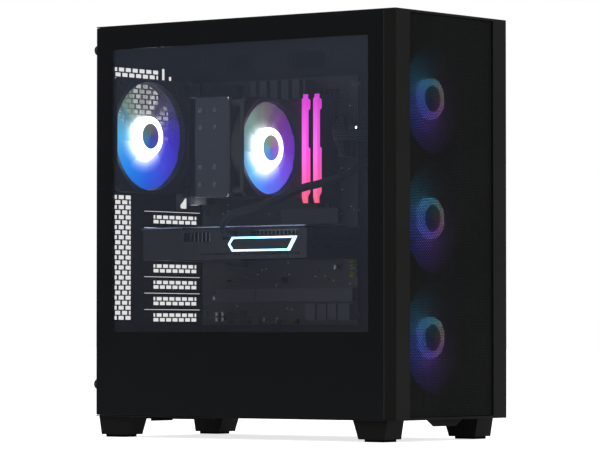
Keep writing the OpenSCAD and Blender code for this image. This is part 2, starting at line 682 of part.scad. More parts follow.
module finned_block(a, b, n, depth) {
    // grooves run along Z, cut from the -X face
    difference() {
        box(a, b);
        w = (b.y - a.y) / (2 * n + 1);
        for (i = [0 : n - 1])
            box([a.x - 1, a.y + (2 * i + 1) * w, a.z - 1], [a.x + depth, a.y + (2 * i + 2) * w, b.z + 1]);
    }
}

module board_heatsinks() {
    color("#2a2d36") {
        // over the regulators beside and above the socket, and the cover of the ports
        finned_block([board_x - 26, cpu_y + 46, cpu_z - 58], [board_x - 3, cpu_y + 70, cpu_z + 58], 3, 9);
        box([board_x - 34, cpu_y + 72, cpu_z - 53], [board_x - 17.5, wall_in - 1, cpu_z + 70]);
        difference() {
            box([board_x - 24, cpu_y - 41, board_z1 - 27], [board_x - 3, cpu_y + 44, board_z1 - 4]);
            for (i = [0 : 4])
                box([board_x - 25, cpu_y - 38 + i * 17, board_z1 - 28],
                    [board_x - 15, cpu_y - 32 + i * 17, board_z1 - 3]);
        }
        // chipset
        difference() {
            box([board_x - 12, chip_y - 34, chip_z - 9], [board_x - 2.4, chip_y + 34, chip_z + 11]);
            for (i = [0 : 2])
                box([board_x - 13, chip_y - 20 + i * 16, chip_z - 10],
                    [board_x - 10, chip_y - 14 + i * 16, chip_z + 12]);
        }
        // two storage covers, above and below the lower slots
        box([board_x - 9, board_y0 + 24, slot_z(1) - 7], [board_x - 4.2, board_y0 + 112, slot_z(1) + 11]);
        box([board_x - 10, board_y0 + 1, slot_z(6) - 1], [board_x - 4.2, board_y1 - 94, slot_z(6) + 15]);
        box([board_x - 10, board_y1 - 93, slot_z(6) - 1], [board_x - 4.2, board_y1 - 30, slot_z(6) + 15]);
    }
    // pads and risers under them
    color("#6e7278") {
        for (y = [cpu_y + 49, cpu_y + 60]) box([board_x - 3, y, cpu_z - 54], [board_x, y + 8, cpu_z + 54]);
        box([board_x - 3, cpu_y - 40, board_z1 - 24], [board_x, cpu_y + 40, board_z1 - 15]);
        box([board_x - 2.4, chip_y - 9, chip_z - 8], [board_x, chip_y + 9, chip_z + 8]);
        box([board_x - 4.2, board_y0 + 28, slot_z(1) - 6], [board_x, board_y0 + 108, slot_z(1) + 2]);
        box([board_x - 4.2, board_y0 + 20, slot_z(6) + 1], [board_x, board_y1 - 104, slot_z(6) + 13]);
        box([board_x - 4.2, board_y1 - 84, slot_z(6) + 1], [board_x, board_y1 - 36, slot_z(6) + 13]);
    }
}

module processor() {
    color("#8f9399") {
        difference() {
            box([board_x - socket_h, cpu_y - 26, cpu_z - 35], [board_x, cpu_y + 26, cpu_z + 35]);
            box([board_x - socket_h - 1, cpu_y - 19, cpu_z - 19], [board_x - 2, cpu_y + 19, cpu_z + 19]);
        }
        box([board_x - socket_h - 2.5, cpu_y - 16, cpu_z - 16], [board_x - 2, cpu_y + 16, cpu_z + 16]);
    }
}

dimm_y = [for (i = [0 : 3]) cpu_y - 46.8 - i * memory_pitch];
dimm_l = 133.35;
dimm_zc = cpu_z + 1;
dimm_edge = board_x - 4.5;                      // lower edge of a module in its slot
slot_end_y = board_y1 - 46;                     // rear end of the expansion slots
long_slot = 89;
slot_plan = [[2, long_slot], [4, 25], [5, long_slot], [7, 25]];   // expansion slots: position, length
latch_z = dimm_zc + 68.5;
latch_x = board_x - 5;
latch_fit = 0.06;

module board_sockets() {
    color("#1c1d22") {
        for (y = dimm_y) difference() {
            box([board_x - 9, y - 3.2, dimm_zc - 71], [board_x, y + 3.2, dimm_zc + 74]);
            box([board_x - 10, y - 0.9, dimm_zc - dimm_l / 2 - 0.4],
                [dimm_edge, y + 0.9, dimm_zc + dimm_l / 2 + 0.4]);
            box([board_x - 10, y - 1.9, dimm_zc + dimm_l / 2 + 0.3], [board_x - 1, y + 1.9, dimm_zc + 75]);
            translate([latch_x, y, latch_z + 1.5]) rotate([90, 0, 0])
                cylinder(r = 1 + latch_fit, h = 5.2, center = true, $fn = 24);
        }
        for (s = slot_plan) difference() {
            box([board_x - 11, slot_end_y - s[1], pcb_z(s[0]) - 3.7],
                [board_x, slot_end_y, pcb_z(s[0]) + 3.7]);
            box([board_x - 12, slot_end_y + 3 - s[1], pcb_z(s[0]) - 1],
                [board_x - 3.4, slot_end_y - 3, pcb_z(s[0]) + 1]);
        }
    }
}

// A latch turns on its pin at the upper end of a memory slot
module memory_latch(i) {
    color("#2e2f36") translate([latch_x, dimm_y[i], latch_z + 1.5]) rotate([90, 0, 0]) {
        cylinder(r = 1, h = 5, center = true, $fn = 24);
        translate([0, 0, -1.6]) linear_extrude(3.2)
            polygon([[2, -1.7], [-2, -1.7], [-8, -3.1], [-9.6, -2.4], [-11, 0.6],
                     [-10, 2], [-5, 1.2], [-1, 1.9], [2, 1.5]]);
    }
}
module memory_latch_1() { memory_latch(0); }
module memory_latch_2() { memory_latch(1); }
module memory_latch_3() { memory_latch(2); }
module memory_latch_4() { memory_latch(3); }

// The seam between a module's light bar and its shells: depth from the outer edge, height
memory_x0 = board_x - memory_h;
bar_seam = [[4.2, 61.5], [8.5, 59.5], [8.5, 49], [5, 47], [5, 2], [8.5, 0.5], [8.5, -53], [4, -59]];
function bar_points(list) = [for (p = list) [memory_x0 + p[0], dimm_zc + p[1]]];

module memory_modules() {
    for (y = [dimm_y[1], dimm_y[3]]) {
        color("#1f2622")
            box([memory_x0 + 9, y - 0.6, dimm_zc - dimm_l / 2], [dimm_edge, y + 0.6, dimm_zc + dimm_l / 2]);
        color("#17181c") for (s = [-1, 1])
            translate([0, y + s * 1.95, 0]) rotate([90, 0, 0]) translate([0, 0, -1.35]) linear_extrude(2.7)
                polygon(concat([[board_x - 9.6, dimm_zc - 65], [board_x - 9.6, dimm_zc + 65]],
                               bar_points([[4.2, 65]]), bar_points(bar_seam), bar_points([[4, -65]])));
    }
}
module memory_light_bars() {
    color("#f065c8") for (y = [dimm_y[1], dimm_y[3]])
        translate([0, y, 0]) rotate([90, 0, 0]) translate([0, 0, -3.3]) linear_extrude(6.6)
            polygon(concat(bar_points([[0, -60], [0, 61], [2.6, 62], [2.6, 66.5], [4.2, 66.5]]),
                           bar_points(bar_seam), bar_points([[4, -66.5], [2.4, -66.5]])));
}

plug_z = cpu_z + 16;                            // middle of the main power plug
module board_parts() {
    // main and processor power sockets
    color("#17181c") {
        box([board_x - 12, board_y0 + 2, plug_z - 26], [board_x, board_y0 + 12, plug_z + 26]);
        box([board_x - 12, cpu_y + 74, board_z1 - 26], [board_x, cpu_y + 84, board_z1 - 3]);
    }
    // chokes beside the socket and above it
    color("#3c3f46") {
        for (i = [0 : 7])
            box([board_x - 6, cpu_y + 32, cpu_z - 52 + i * 13], [board_x, cpu_y + 42, cpu_z - 42 + i * 13]);
        for (i = [0 : 3])
            box([board_x - 6, cpu_y - 36 + i * 15, board_z1 - 40],
                [board_x, cpu_y - 25 + i * 15, board_z1 - 30]);
    }
    // capacitors
    color("#5b5e66") for (p = [[cpu_y - 36, cpu_z + 30], [cpu_y - 36, cpu_z], [cpu_y - 36, cpu_z - 30],
                               [board_y0 + 30, slot_z(2) + 6], [board_y0 + 120, slot_z(7) - 3],
                               [board_y0 + 140, slot_z(7) - 3], [board_y0 + 30, slot_z(4)],
                               [board_y1 - 24.2, board_z0 + 33.7], [board_y1 - 28.3, board_z0 + 13.7],
                               [board_y1 - 37.9, board_z0 + 13.7], [board_y1 - 28.3, board_z0 + 6.6],
                               [board_y1 - 37.9, board_z0 + 6.6]])
        translate([board_x - 8, p[0], p[1]]) rotate([0, 90, 0]) cylinder(r = 3.2, h = 8, $fn = 24);
    // pin headers along the lower and the front edge
    color("#c9d64a") for (z = [0 : 3])
        box([board_x - 8.5, board_y0 + 1.5, slot_z(4) - 12 + z * 8.5],
            [board_x, board_y0 + 5.5, slot_z(4) - 6 + z * 8.5]);
    color("#17181c") for (i = [0 : 3])
        box([board_x - 8.5, board_y0 + 90 + i * 28, board_z0 + 1.5],
            [board_x, board_y0 + 108 + i * 28, board_z0 + 7]);
}

// ---- Processor cooler: fins across the air flow on four bent pipes ----
cooler_x0 = board_x - cooler_h;                 // cover plate, the farthest from the board
fin_y0 = cpu_y - 25;
fin_y1 = fin_y0 + fin_depth;
fin_z0 = cpu_z - fin_width / 2;
fin_z1 = cpu_z + fin_width / 2;
fin_x0 = cooler_x0 + 2;
fin_count = 31;
fin_x1 = fin_x0 + (fin_count - 1) * fin_pitch + 0.5;
pipe_r = pipe_d / 2;
pipe_y = [fin_y0 + 20, fin_y0 + 42];
pipe_plan = [[24, board_x - 17.5], [45, board_x - 11.5]];   // half spread, axis in the base
pipe_bend = 12;
base_x0 = board_x - socket_h - 2.5 - 16;

module pipe_plan_2d(grow) {
    for (y = pipe_y, p = pipe_plan, s = [-1, 1])
        translate([y, cpu_z + s * p[0]]) circle(pipe_r + grow, $fn = 24);
}

module cooler_base() {
    color("#b8bcc2") {
        for (y = pipe_y, p = pipe_plan) {
            for (s = [-1, 1]) {
                translate([cooler_x0 - 1.5, y, cpu_z + s * p[0]]) rotate([0, 90, 0])
                    cylinder(r = pipe_r, h = p[1] - pipe_bend - cooler_x0 + 1.5, $fn = 24);
                translate([p[1] - pipe_bend, y, cpu_z + s * (p[0] - pipe_bend)])
                    rotate([90, 0, 0]) intersection() {
                    rotate_extrude() translate([pipe_bend, 0]) circle(pipe_r, $fn = 24);
                    translate([0, s > 0 ? 0 : -20, -5]) cube([20, 20, 10]);
                }
            }
            translate([p[1], y, cpu_z - p[0] + pipe_bend])
                cylinder(r = pipe_r, h = 2 * (p[0] - pipe_bend), $fn = 24);
        }
        box([base_x0, cpu_y - 18, cpu_z - 20], [board_x - socket_h - 2.5, cpu_y + 30, cpu_z + 20]);
    }
    // fixing bar with its two screws
    color("#9da1a7") {
        box([base_x0 - 2, cpu_y + 1, cpu_z - 46], [base_x0 + 0.2, cpu_y + 11, cpu_z + 46]);
        for (s = [-1, 1]) translate([base_x0 - 6, cpu_y + 6, cpu_z + s * 41]) rotate([0, 90, 0]) {
            cylinder(r = 4, h = 4.2, $fn = 24);
            cylinder(r = 2.2, h = board_x - base_x0 + 6, $fn = 24);
        }
    }
}

module cooler_fins() {
    color("#5a5f6a") difference() {
        union() {
            for (i = [0 : fin_count - 1])
                box([fin_x0 + i * fin_pitch, fin_y0, fin_z0],
                    [fin_x0 + i * fin_pitch + 0.5, fin_y1, fin_z1]);
            // folded edges that close the stack at its two ends
            for (z = [fin_z0, fin_z1 - 0.6])
                box([fin_x0, fin_y0 + 6, z], [fin_x1, fin_y1 - 6, z + 0.6]);
        }
        yz_plate(fin_x0 - 1, fin_x1 - fin_x0 + 2) pipe_plan_2d(0.05);
    }
}

module cooler_cover() {
    color("#323849") difference() {
        union() {
            yz_plate(cooler_x0, 2) cut_rect(fin_y0 - 0.5, fin_z0 - 0.8, fin_y1 + 0.5, fin_z1 + 0.8, 3);
            for (z = [fin_z0 - 0.8, fin_z1 + 0.1])
                box([cooler_x0 + 1, fin_y0 + 8, z], [cooler_x0 + 16, fin_y1 - 8, z + 0.7]);
        }
        yz_plate(cooler_x0 - 1, 4) pipe_plan_2d(0.05);
        yz_plate(cooler_x0 - 1, 2) rect(fin_y0 + 6, cpu_z - 9, fin_y1 - 6, cpu_z - 8.2);
        yz_plate(cooler_x0 - 1, 2) rect(fin_y0 + 6, cpu_z + 8.2, fin_y1 - 6, cpu_z + 9);
    }
}

cooler_fan_x = cooler_x0 + 56;
cooler_fan_y = fin_y0 - 2 - fan_d;
module cooler_fan_frame() {
    color("#17181b") facing_back([cooler_fan_x, cooler_fan_y, cpu_z]) {
        fan_frame(cooler_fan, cooler_fan_pitch, fan_d);
        // soft pads between the frame and the fins
        pad_x = [fin_x0 - cooler_fan_x + 0.5, fin_x1 - cooler_fan_x - 9];
        for (x = pad_x, y = [-1, 1])
            translate([x, y * (cooler_fan / 2 - 9) - 5, fan_d - 0.5]) cube([8, 10, 2.5]);
    }
}
module cooler_rotor() {
    color("#cfe0f5")
        facing_back([cooler_fan_x, cooler_fan_y, cpu_z]) fan_rotor(cooler_fan, fan_d, blade_count);
}

// ---- Graphics card in the second and third slots, its fans facing down ----
card_z1 = pcb_z(2) + 3.2;
card_z0 = card_z1 - card_t;
card_pcb0 = pcb_z(2) - 0.8;
card_pcb1 = pcb_z(2) + 0.8;
card_x0 = board_x - card_h;
card_x1 = board_x - 13;
card_y1 = wall_in - sheet;
card_y0 = card_y1 - card_l;
card_fan_y = [card_y1 - 64, card_y1 - 64 - card_fan - 14];
card_fan_x = (card_x0 + card_x1) / 2;
card_fan_d = 14;
card_hub_r = 18;
plug_y = card_y1 - 148;

module card_board() {
    color("#16201c") {
        box([card_x0 + 5, card_y0 + 8, card_pcb0], [card_x1, card_y1 - 2, card_pcb1]);
        box([card_x1 - 1, slot_end_y - long_slot + 3.5, card_pcb0],
            [board_x - 3.6, slot_end_y - 4, card_pcb1]);
    }
    // power socket
    color("#111113") difference() {
        box([card_x0 + 4, plug_y - 10, card_pcb0 - 11.5], [card_x0 + 18, plug_y + 10, card_pcb0]);
        box([card_x0 + 3, plug_y - 9, card_pcb0 - 10.5], [card_x0 + 10, plug_y + 9, card_pcb0 - 1]);
    }
}

module card_heatsink() {
    z0 = card_z0 + card_fan_d + 3.5;
    color("#a9adb3") difference() {
        box([card_x0 + 8, card_y0 + 6, z0], [card_x1 - 4, card_y1 - 14, card_pcb0 - 0.4]);
        n = floor((card_l - 40) / 6);
        for (i = [0 : n])
            box([card_x0 + 7, card_y0 + 12 + i * 6, z0 - 1],
                [card_x1 - 3, card_y0 + 16 + i * 6, card_pcb0 - 2.5]);
        box([card_x0 + 7, plug_y - 12, card_pcb0 - 13], [card_x0 + 22, plug_y + 12, card_pcb0]);
    }
}

module card_shroud() {
    w = 2;
    color("#1f2227") {
        difference() {
            box([card_x0, card_y0, card_z0], [card_x1, card_y1 - 11, card_pcb0]);
            box([card_x0 + w, card_y0 + w, card_z0 + w], [card_x1 - w, card_y1 - 11 - w, card_pcb0 + 1]);
            for (y = card_fan_y) translate([card_fan_x, y, card_z0 - 1])
                cylinder(r = card_fan / 2 + 1, h = w + 2, $fn = 96);
            // the plug's opening, the ends and the side vents
            box([card_x0 - 1, plug_y - 11, card_pcb0 - 12.5],
                [card_x0 + w + 1, plug_y + 11, card_pcb0 + 1]);
            box([card_x0 + 12, card_y0 - 1, card_z0 + 12], [card_x1 - 12, card_y0 + w + 1, card_pcb0 - 6]);
            for (i = [0 : 4]) box([card_x1 - w - 1, card_y0 + 20 + i * 46, card_z0 + 16],
                                  [card_x1 + 1, card_y0 + 54 + i * 46, card_pcb0 - 8]);
            // windows onto the fins in the visible edge, and a row of small vents below them
            box([card_x0 - 1, card_y0 + 13, light_z1 + 2.2],
                [card_x0 + w + 1, card_y0 + 86, card_pcb0 - 0.8]);
            box([card_x0 - 1, plug_y + 30, card_z0 + 21.5],
                [card_x0 + w + 1, plug_y + 72, card_pcb0 - 3.2]);
            for (i = [0 : 35]) box([card_x0 - 1, card_y0 + 11 + i * 4.3, card_z0 + 5],
                                   [card_x0 + w + 1, card_y0 + 13.2 + i * 4.3, card_z0 + 7.6]);
            // bevels along the visible long edge
            translate([card_x0, card_y0 - 1, card_z0]) rotate([0, 45, 0]) cube([3.4, card_l + 2, 3.4]);
        }
        // motor bases on three struts
        for (y = card_fan_y) translate([card_fan_x, y, card_z0 + card_fan_d]) {
            difference() {
                union() {
                    cylinder(r = card_hub_r - 2, h = 2);
                    translate([0, 0, -6]) cylinder(r = 7, h = 7);
                    for (a = [0 : 90 : 270]) rotate(a + 45) box([8, -2, 0], [card_fan / 2 + 1, 2, 2]);
                    difference() {
                        cylinder(r = card_fan / 2 + 2.5, h = 2, $fn = 96);
                        translate([0, 0, -1]) cylinder(r = card_fan / 2 + 0.5, h = 4, $fn = 96);
                    }
                    for (a = [45 : 90 : 315])
                        rotate(a) translate([card_fan / 2 + 1.8, 0, w - card_fan_d - 0.5])
                        cylinder(r = 1.6, h = card_fan_d - w + 1, $fn = 24);
                }
                translate([0, 0, -7]) cylinder(r = shaft_r + shaft_fit, h = 10, $fn = 24);
            }
        }
    }
}

module card_rotor(y) {
    color("#26282d") translate([card_fan_x, y, card_z0 + 1]) {
        cup_h = card_fan_d - 3;
        rotate_extrude() polygon([
            [0, 0], [card_hub_r - 3, 0], [card_hub_r, 2.4], [card_hub_r, cup_h],
            [card_hub_r - 1.6, cup_h], [card_hub_r - 1.6, 3.2], [card_hub_r - 3.6, 1.8],
            [shaft_r, 1.8], [shaft_r, cup_h], [0, cup_h]]);
        for (i = [0 : 10]) rotate(i * 360 / 11) intersection() {
            cylinder(r = card_fan / 2 - tip_gap + 0.6, h = cup_h, $fn = 96);
            translate([card_hub_r - 1.5, 0, 0]) rotate([90, 0, 90]) linear_extrude(card_fan / 2)
                polygon([[-4.6, 0.6], [0, 4.2], [4.6, cup_h - 1.6],
                         [4.6, cup_h - 0.3], [0, 5.6], [-4.6, 1.9]]);
        }
    }
}
module card_rotor_rear() { card_rotor(card_fan_y[0]); }
module card_rotor_front() { card_rotor(card_fan_y[1]); }

module card_backplate() {
    color("#2b2f36") difference() {
        union() {
            box([card_x0, card_y0, card_pcb1 + 1], [card_x1, card_y1 - 4, card_z1]);
            for (x = [card_x0 + 12, card_x1 - 12], y = [card_y0 + 14, card_y0 + 130, card_y1 - 20])
                translate([x, y, card_pcb1]) cylinder(r = 3, h = 1.5, $fn = 24);
        }
        for (i = [0 : 6])
            box([card_x0 + 20, card_y0 + 14 + i * 7, card_pcb1],
                [card_x1 - 20, card_y0 + 17 + i * 7, card_z1 + 1]);
    }
}

module card_bracket() {
    color("#3a3c40") {
        xz_plate(card_y1, sheet) difference() {
            rect(shelf_x - 1, slot_z(3) - cover_half_h, board_x + 6, slot_z(2) + cover_half_h);
            for (i = [0 : 2])
                rect(board_x - 34 - i * 22, slot_z(2) - 4, board_x - 17 - i * 22, slot_z(2) + 2);
            rect(board_x - 92, slot_z(2) - 4, board_x - 78, slot_z(2) + 2);
            for (i = [0 : 7])
                rect(board_x - 92 + i * 10.5, slot_z(3) - 6, board_x - 85 + i * 10.5, slot_z(3) + 7);
        }
        for (i = [2, 3])
            box([shelf_x - sheet, wall_in - 0.5, slot_z(i) - 7.2],
                [shelf_x, wall_out + shelf_d, slot_z(i) + 7.2]);
        // foot that holds the bracket to the card, and the display sockets
        box([card_x0 + 10, card_y1 - 10, card_pcb1], [card_x1 - 10, card_y1 + 0.5, card_pcb1 + 0.9]);
    }
    color("#8c9096") {
        for (i = [0 : 2]) difference() {
            box([board_x - 33.8 - i * 22, card_y1 - 9, slot_z(2) - 3.8],
                [board_x - 17.2 - i * 22, card_y1 + 1.4, slot_z(2) + 1.8]);
            box([board_x - 32.8 - i * 22, card_y1 - 7, slot_z(2) - 2.8],
                [board_x - 18.2 - i * 22, card_y1 + 2, slot_z(2) + 0.8]);
        }
        difference() {
            box([board_x - 91.8, card_y1 - 9, slot_z(2) - 3.8],
                [board_x - 78.2, card_y1 + 1.4, slot_z(2) + 1.8]);
            box([board_x - 90.8, card_y1 - 7, slot_z(2) - 2.8],
                [board_x - 79.2, card_y1 + 2, slot_z(2) + 0.8]);
        }
    }
}

// A glowing outline on the long edge, pointed at its two ends
light_y0 = card_y0 + 14.3;
light_y1 = plug_y + 2.7;
light_z0 = card_z0 + 9.3;
light_z1 = card_z0 + 26.5;
module light_outline(inset) {
    m = (light_z0 + light_z1) / 2;
    polygon([[light_y0 + inset * 3.2, light_z1 - inset], [light_y0 + 11 + inset * 1.9, light_z0 + inset],
             [light_y1 - 6 - inset, light_z0 + inset], [light_y1 - inset * 1.2, m],
             [light_y1 - 6 - inset, light_z1 - inset]]);
}
module card_light_frame() {
    color("#d5ecf7") yz_plate(card_x0 - 1, 1) difference() {
        light_outline(0);
        light_outline(2);
    }
}

// ---- Cables, laid along their whole route ----
// A flat bundle swept along a smooth curve; w and h are its half width and half height
function curve(p, n) = [for (i = [0 : len(p) - 2], k = [0 : n - 1])
    let (a = p[max(i - 1, 0)], b = p[i], c = p[i + 1], d = p[min(i + 2, len(p) - 1)], t = k / n)
        0.5 * (2 * b + (c - a) * t + (2 * a - 5 * b + 4 * c - d) * t * t
               + (3 * b - a - 3 * c + d) * t * t * t),
    p[len(p) - 1]];
function unit(v) = v / norm(v);
// Each ring's width direction is the one before it, turned no more than the curve turns
function sides(t, s, i = 1) = i == len(t) ? s :
    sides(t, concat(s, [unit(s[i - 1] - (s[i - 1] * t[i]) * t[i])]), i + 1);

module bundle(points, w, h, start, n = 4, m = 10) {
    c = curve(points, n);
    k = len(c);
    t = [for (i = [0 : k - 1]) unit(c[min(i + 1, k - 1)] - c[max(i - 1, 0)])];
    s = sides(t, [unit(start - (start * t[0]) * t[0])]);
    ring = [for (i = [0 : k - 1], j = [0 : m - 1])
        c[i] + s[i] * w * cos(j * 360 / m) + cross(t[i], s[i]) * h * sin(j * 360 / m)];
    polyhedron(ring, concat(
        [[for (j = [0 : m - 1]) j]],
        [for (i = [0 : k - 2], j = [0 : m - 1])
            [i * m + j, (i + 1) * m + j, (i + 1) * m + (j + 1) % m, i * m + (j + 1) % m]],
        [[for (j = [m - 1 : -1 : 0]) (k - 1) * m + j]]), convexity = 8);
}

behind_x = tray_x + sheet + 10;                 // middle of the space behind the tray
plug_x = psu_x1 - 38;
card_plug_z = card_pcb0 - 5.3;

module card_cable() {
    color("#121316") {
        bundle([[plug_x, psu_y0 - 1, psu_z0 + 40], [plug_x + 6, psu_y0 - 16, psu_z0 + 41],
                [tray_x - 8, psu_y0 - 32, psu_z0 + 44], [behind_x, psu_y0 - 50, psu_z0 + 62],
                [behind_x, board_y0 + 38, board_z0 + 30], [behind_x, board_y0 - 1, board_z0 + 100],
                [behind_x, board_y0 - 19, board_z0 + 154], [tray_x + 1, board_y0 - 26, board_z0 + 188],
                [board_x - 12, board_y0 - 21.5, board_z0 + 194],
                [board_x - 42, board_y0 - 9.5, board_z0 + 179.5],
                [board_x - 64, board_y0 + 8, board_z0 + 170.5],
                [board_x - 82, board_y0 + 23, board_z0 + 164.5],
                [board_x - 102, board_y0 + 34, board_z0 + 154],
                [board_x - 122, board_y0 + 47.5, board_z0 + 145],
                [board_x - 137, board_y0 + 64.5, board_z0 + 137.5],
                [card_x0 - 24, plug_y - 22, board_z0 + 132.5],
                [card_x0 - 27, plug_y - 14, board_z0 + 125], [card_x0 - 25, plug_y - 8, card_plug_z + 7],
                [card_x0 - 17, plug_y - 2.5, card_plug_z + 1], [card_x0 - 6, plug_y, card_plug_z]],
               6.5, 4.5, [0, 0, 1]);
        box([card_x0 - 10, plug_y - 8.8, card_plug_z - 4], [card_x0 + 9.5, plug_y + 8.8, card_plug_z + 4]);
    }
}
module board_cable() {
    color("#121316") {
        bundle([[plug_x - 16, psu_y0 - 1, psu_z0 + 28], [plug_x - 6, psu_y0 - 22, psu_z0 + 28],
                [tray_x - 14, psu_y0 - 44, psu_z0 + 30], [behind_x, psu_y0 - 66, psu_z0 + 58],
                [behind_x, board_y0 + 13, board_z0 + 40], [behind_x, board_y0 - 31, board_z0 + 126],
                [behind_x, board_y0 - 36, plug_z - 26], [tray_x + 2, board_y0 - 31, plug_z],
                [board_x - 16, board_y0 - 22, plug_z], [board_x - 32, board_y0 - 12, plug_z],
                [board_x - 40, board_y0 + 1, plug_z], [board_x - 33, board_y0 + 8, plug_z],
                [board_x - 21, board_y0 + 7, plug_z]], 5, 5, [0, 1, 0]);
        box([board_x - 24, board_y0 + 2.5, plug_z - 25], [board_x - 12, board_y0 + 11.5, plug_z + 25]);
    }
}

// ---- Glass side ----
module panel_flange(x0, x1, narrow0, narrow1, screw_x) {
    xz_plate(wall_out, sheet) difference() {
        union() {
            rect(narrow0, panel_z0, narrow1, panel_z1);
            for (z = screw_z) rect(x0, z - 10, x1, z + 10);
        }
        for (z = screw_z) translate([screw_x, z]) circle(1.9, $fn = 24);
    }
}

module window_glass() {
    color("#14171b", 0.5) box([left_x, panel_y0, panel_z0], [left_x + glass_t, rear_y, panel_z1]);
}
module window_frame() {
    x = left_x + glass_t;
    color("#17181a") {
        yz_plate(x, sheet) difference() {
            rect(panel_y0 + 2, panel_z0 + 2, rear_y, panel_z1 - 2);
            rect(panel_y0 + border_side - 2, panel_z0 + border_bottom - 2,
                 rear_y - border_side + 2, panel_z1 - border_top + 2);
        }
        panel_flange(x + 0.2, left_screw_x + 7, x + 0.2, x + 4, left_screw_x);
    }
}

// A knurled head on a neck, with a shank that reaches into the rear wall
module thumbscrew(x, z) {
    translate([x, rear_y, z]) rotate([-90, 0, 0]) {
        cylinder(r = 3.4, h = 2);
        translate([0, 0, 1.5]) difference() {
            cylinder(r = 6, h = screw_proud - 1.5);
            translate([0, 0, screw_proud - 3]) cylinder(r = 4.2, h = 3);
        }
        translate([0, 0, screw_proud - 4]) cylinder(r = 2.4, h = 2.4, $fn = 24);
        translate([0, 0, -7]) cylinder(r = 1.6, h = 8, $fn = 24);
    }
}
module window_thumbscrews() { color("#26272a") for (z = screw_z) thumbscrew(left_screw_x, z); }

// ---- Steel side ----
module right_panel() {
    color("#1d1e20") {
        box([right_in, panel_y0, panel_z0], [right_x, rear_y, panel_z1]);
        panel_flange(right_screw_x - 7, right_in + 0.2, right_in - 3, right_in + 0.2, right_screw_x);
        // folded front, top and bottom edges
        box([right_in - 0.4, panel_y0, panel_z0], [right_x, panel_y0 + sheet, panel_z1]);
    }
}
module right_thumbscrews() { color("#26272a") for (z = screw_z) thumbscrew(right_screw_x, z); }

// ---- Front cover ----
cover_t = 2;
rim_t = mesh_recess;                            // thickness of the cover in front of the mesh
mesh_x = mesh_w / 2;
clip_x = (mesh_x + right_x) / 2;
clip_z = [floor_z + 30, floor_z + 166, floor_z + 307, top_z - 30];

// Half of the cover's cross-section, open at the back
module cover_half() {
    difference() {
        polygon([[mesh_x, front_y], [right_x - 1, front_y], [right_x, front_y + 1], [right_x, seam_y],
                 [mesh_x + 4, seam_y], [mesh_x + 4, front_y + rim_t], [mesh_x, front_y + rim_t]]);
        polygon([[mesh_x + 4 + cover_t, front_y + rim_t + 1.6], [right_x - cover_t, front_y + rim_t + 1.6],
                 [right_x - cover_t, seam_y + 1], [mesh_x + 4 + cover_t, seam_y + 1]]);
    }
}

module front_cover() {
    color("#1e1e1f") {
        for (m = [0, 1]) mirror([m, 0, 0]) {
            xy_plate(floor_z, body_h) cover_half();
            for (z = clip_z) box([mesh_x + 5, seam_y - 8, z - 5], [right_x - 1, seam_y, z - 4]);
            for (z = [floor_z, top_z - cover_t])
                box([mesh_x + 3, front_y + 2, z], [right_x - 1, seam_y, z + cover_t]);
        }
        for (z = [floor_z, top_z - cover_t])
            box([-mesh_x - 5, front_y + rim_t + 0.2, z], [mesh_x + 5, seam_y, z + cover_t]);
        for (z = [floor_z, top_z - mesh_rim])
            box([-mesh_x - 1, front_y, z], [mesh_x + 1, front_y + rim_t, z + mesh_rim]);
        // pull tab
        xz_plate(seam_y - 6, 3) polygon([[-tab_w / 2, floor_z + 0.5], [-tab_w / 2, floor_z - 1],
            [-tab_w / 2 + 12, floor_z - tab_drop], [tab_w / 2 - 12, floor_z - tab_drop],
            [tab_w / 2, floor_z - 1], [tab_w / 2, floor_z + 0.5]]);
    }
}

// Barbed clips that stand on the ribs of the cover and reach into the front wall
module cover_clips() {
    color("#1e1e1f") for (m = [0, 1], z = clip_z) mirror([m, 0, 0])
        yz_plate(clip_x - 2, 4)
            polygon([[seam_y - 7, z - 4], [front_fan_y + 0.6, z - 3], [front_fan_y + 0.6, z + 2],
                     [front_fan_y - 1.2, z + 3.4], [front_fan_y - 2.4, z + 2.6], [seam_y - 7, z + 3]]);
}

module front_mesh() {
    mx = mesh_x + 2.4;
    z0 = floor_z + cover_t + 0.1;
    z1 = top_z - cover_t - 0.1;
    nx = floor((mesh_w - 2) / mesh_pitch);
    nz = floor((z1 - z0 - 4) / mesh_pitch);
    color("#151516") {
        xz_plate(front_y + rim_t, 0.8) difference() {
            rect(-mx, z0, mx, z1);
            for (i = [0 : nx - 1], j = [0 : nz - 1])
                translate([(i - (nx - 1) / 2) * mesh_pitch,
                           (z0 + z1) / 2 + (j - (nz - 1) / 2) * mesh_pitch])
                    square(mesh_pitch * 0.72, center = true);
        }
        // folded edges that brace the mesh
        for (m = [0, 1]) mirror([m, 0, 0])
            box([mesh_x + 1.4, front_y + rim_t + 0.4, z0], [mx, seam_y - 1, z1]);
    }
}

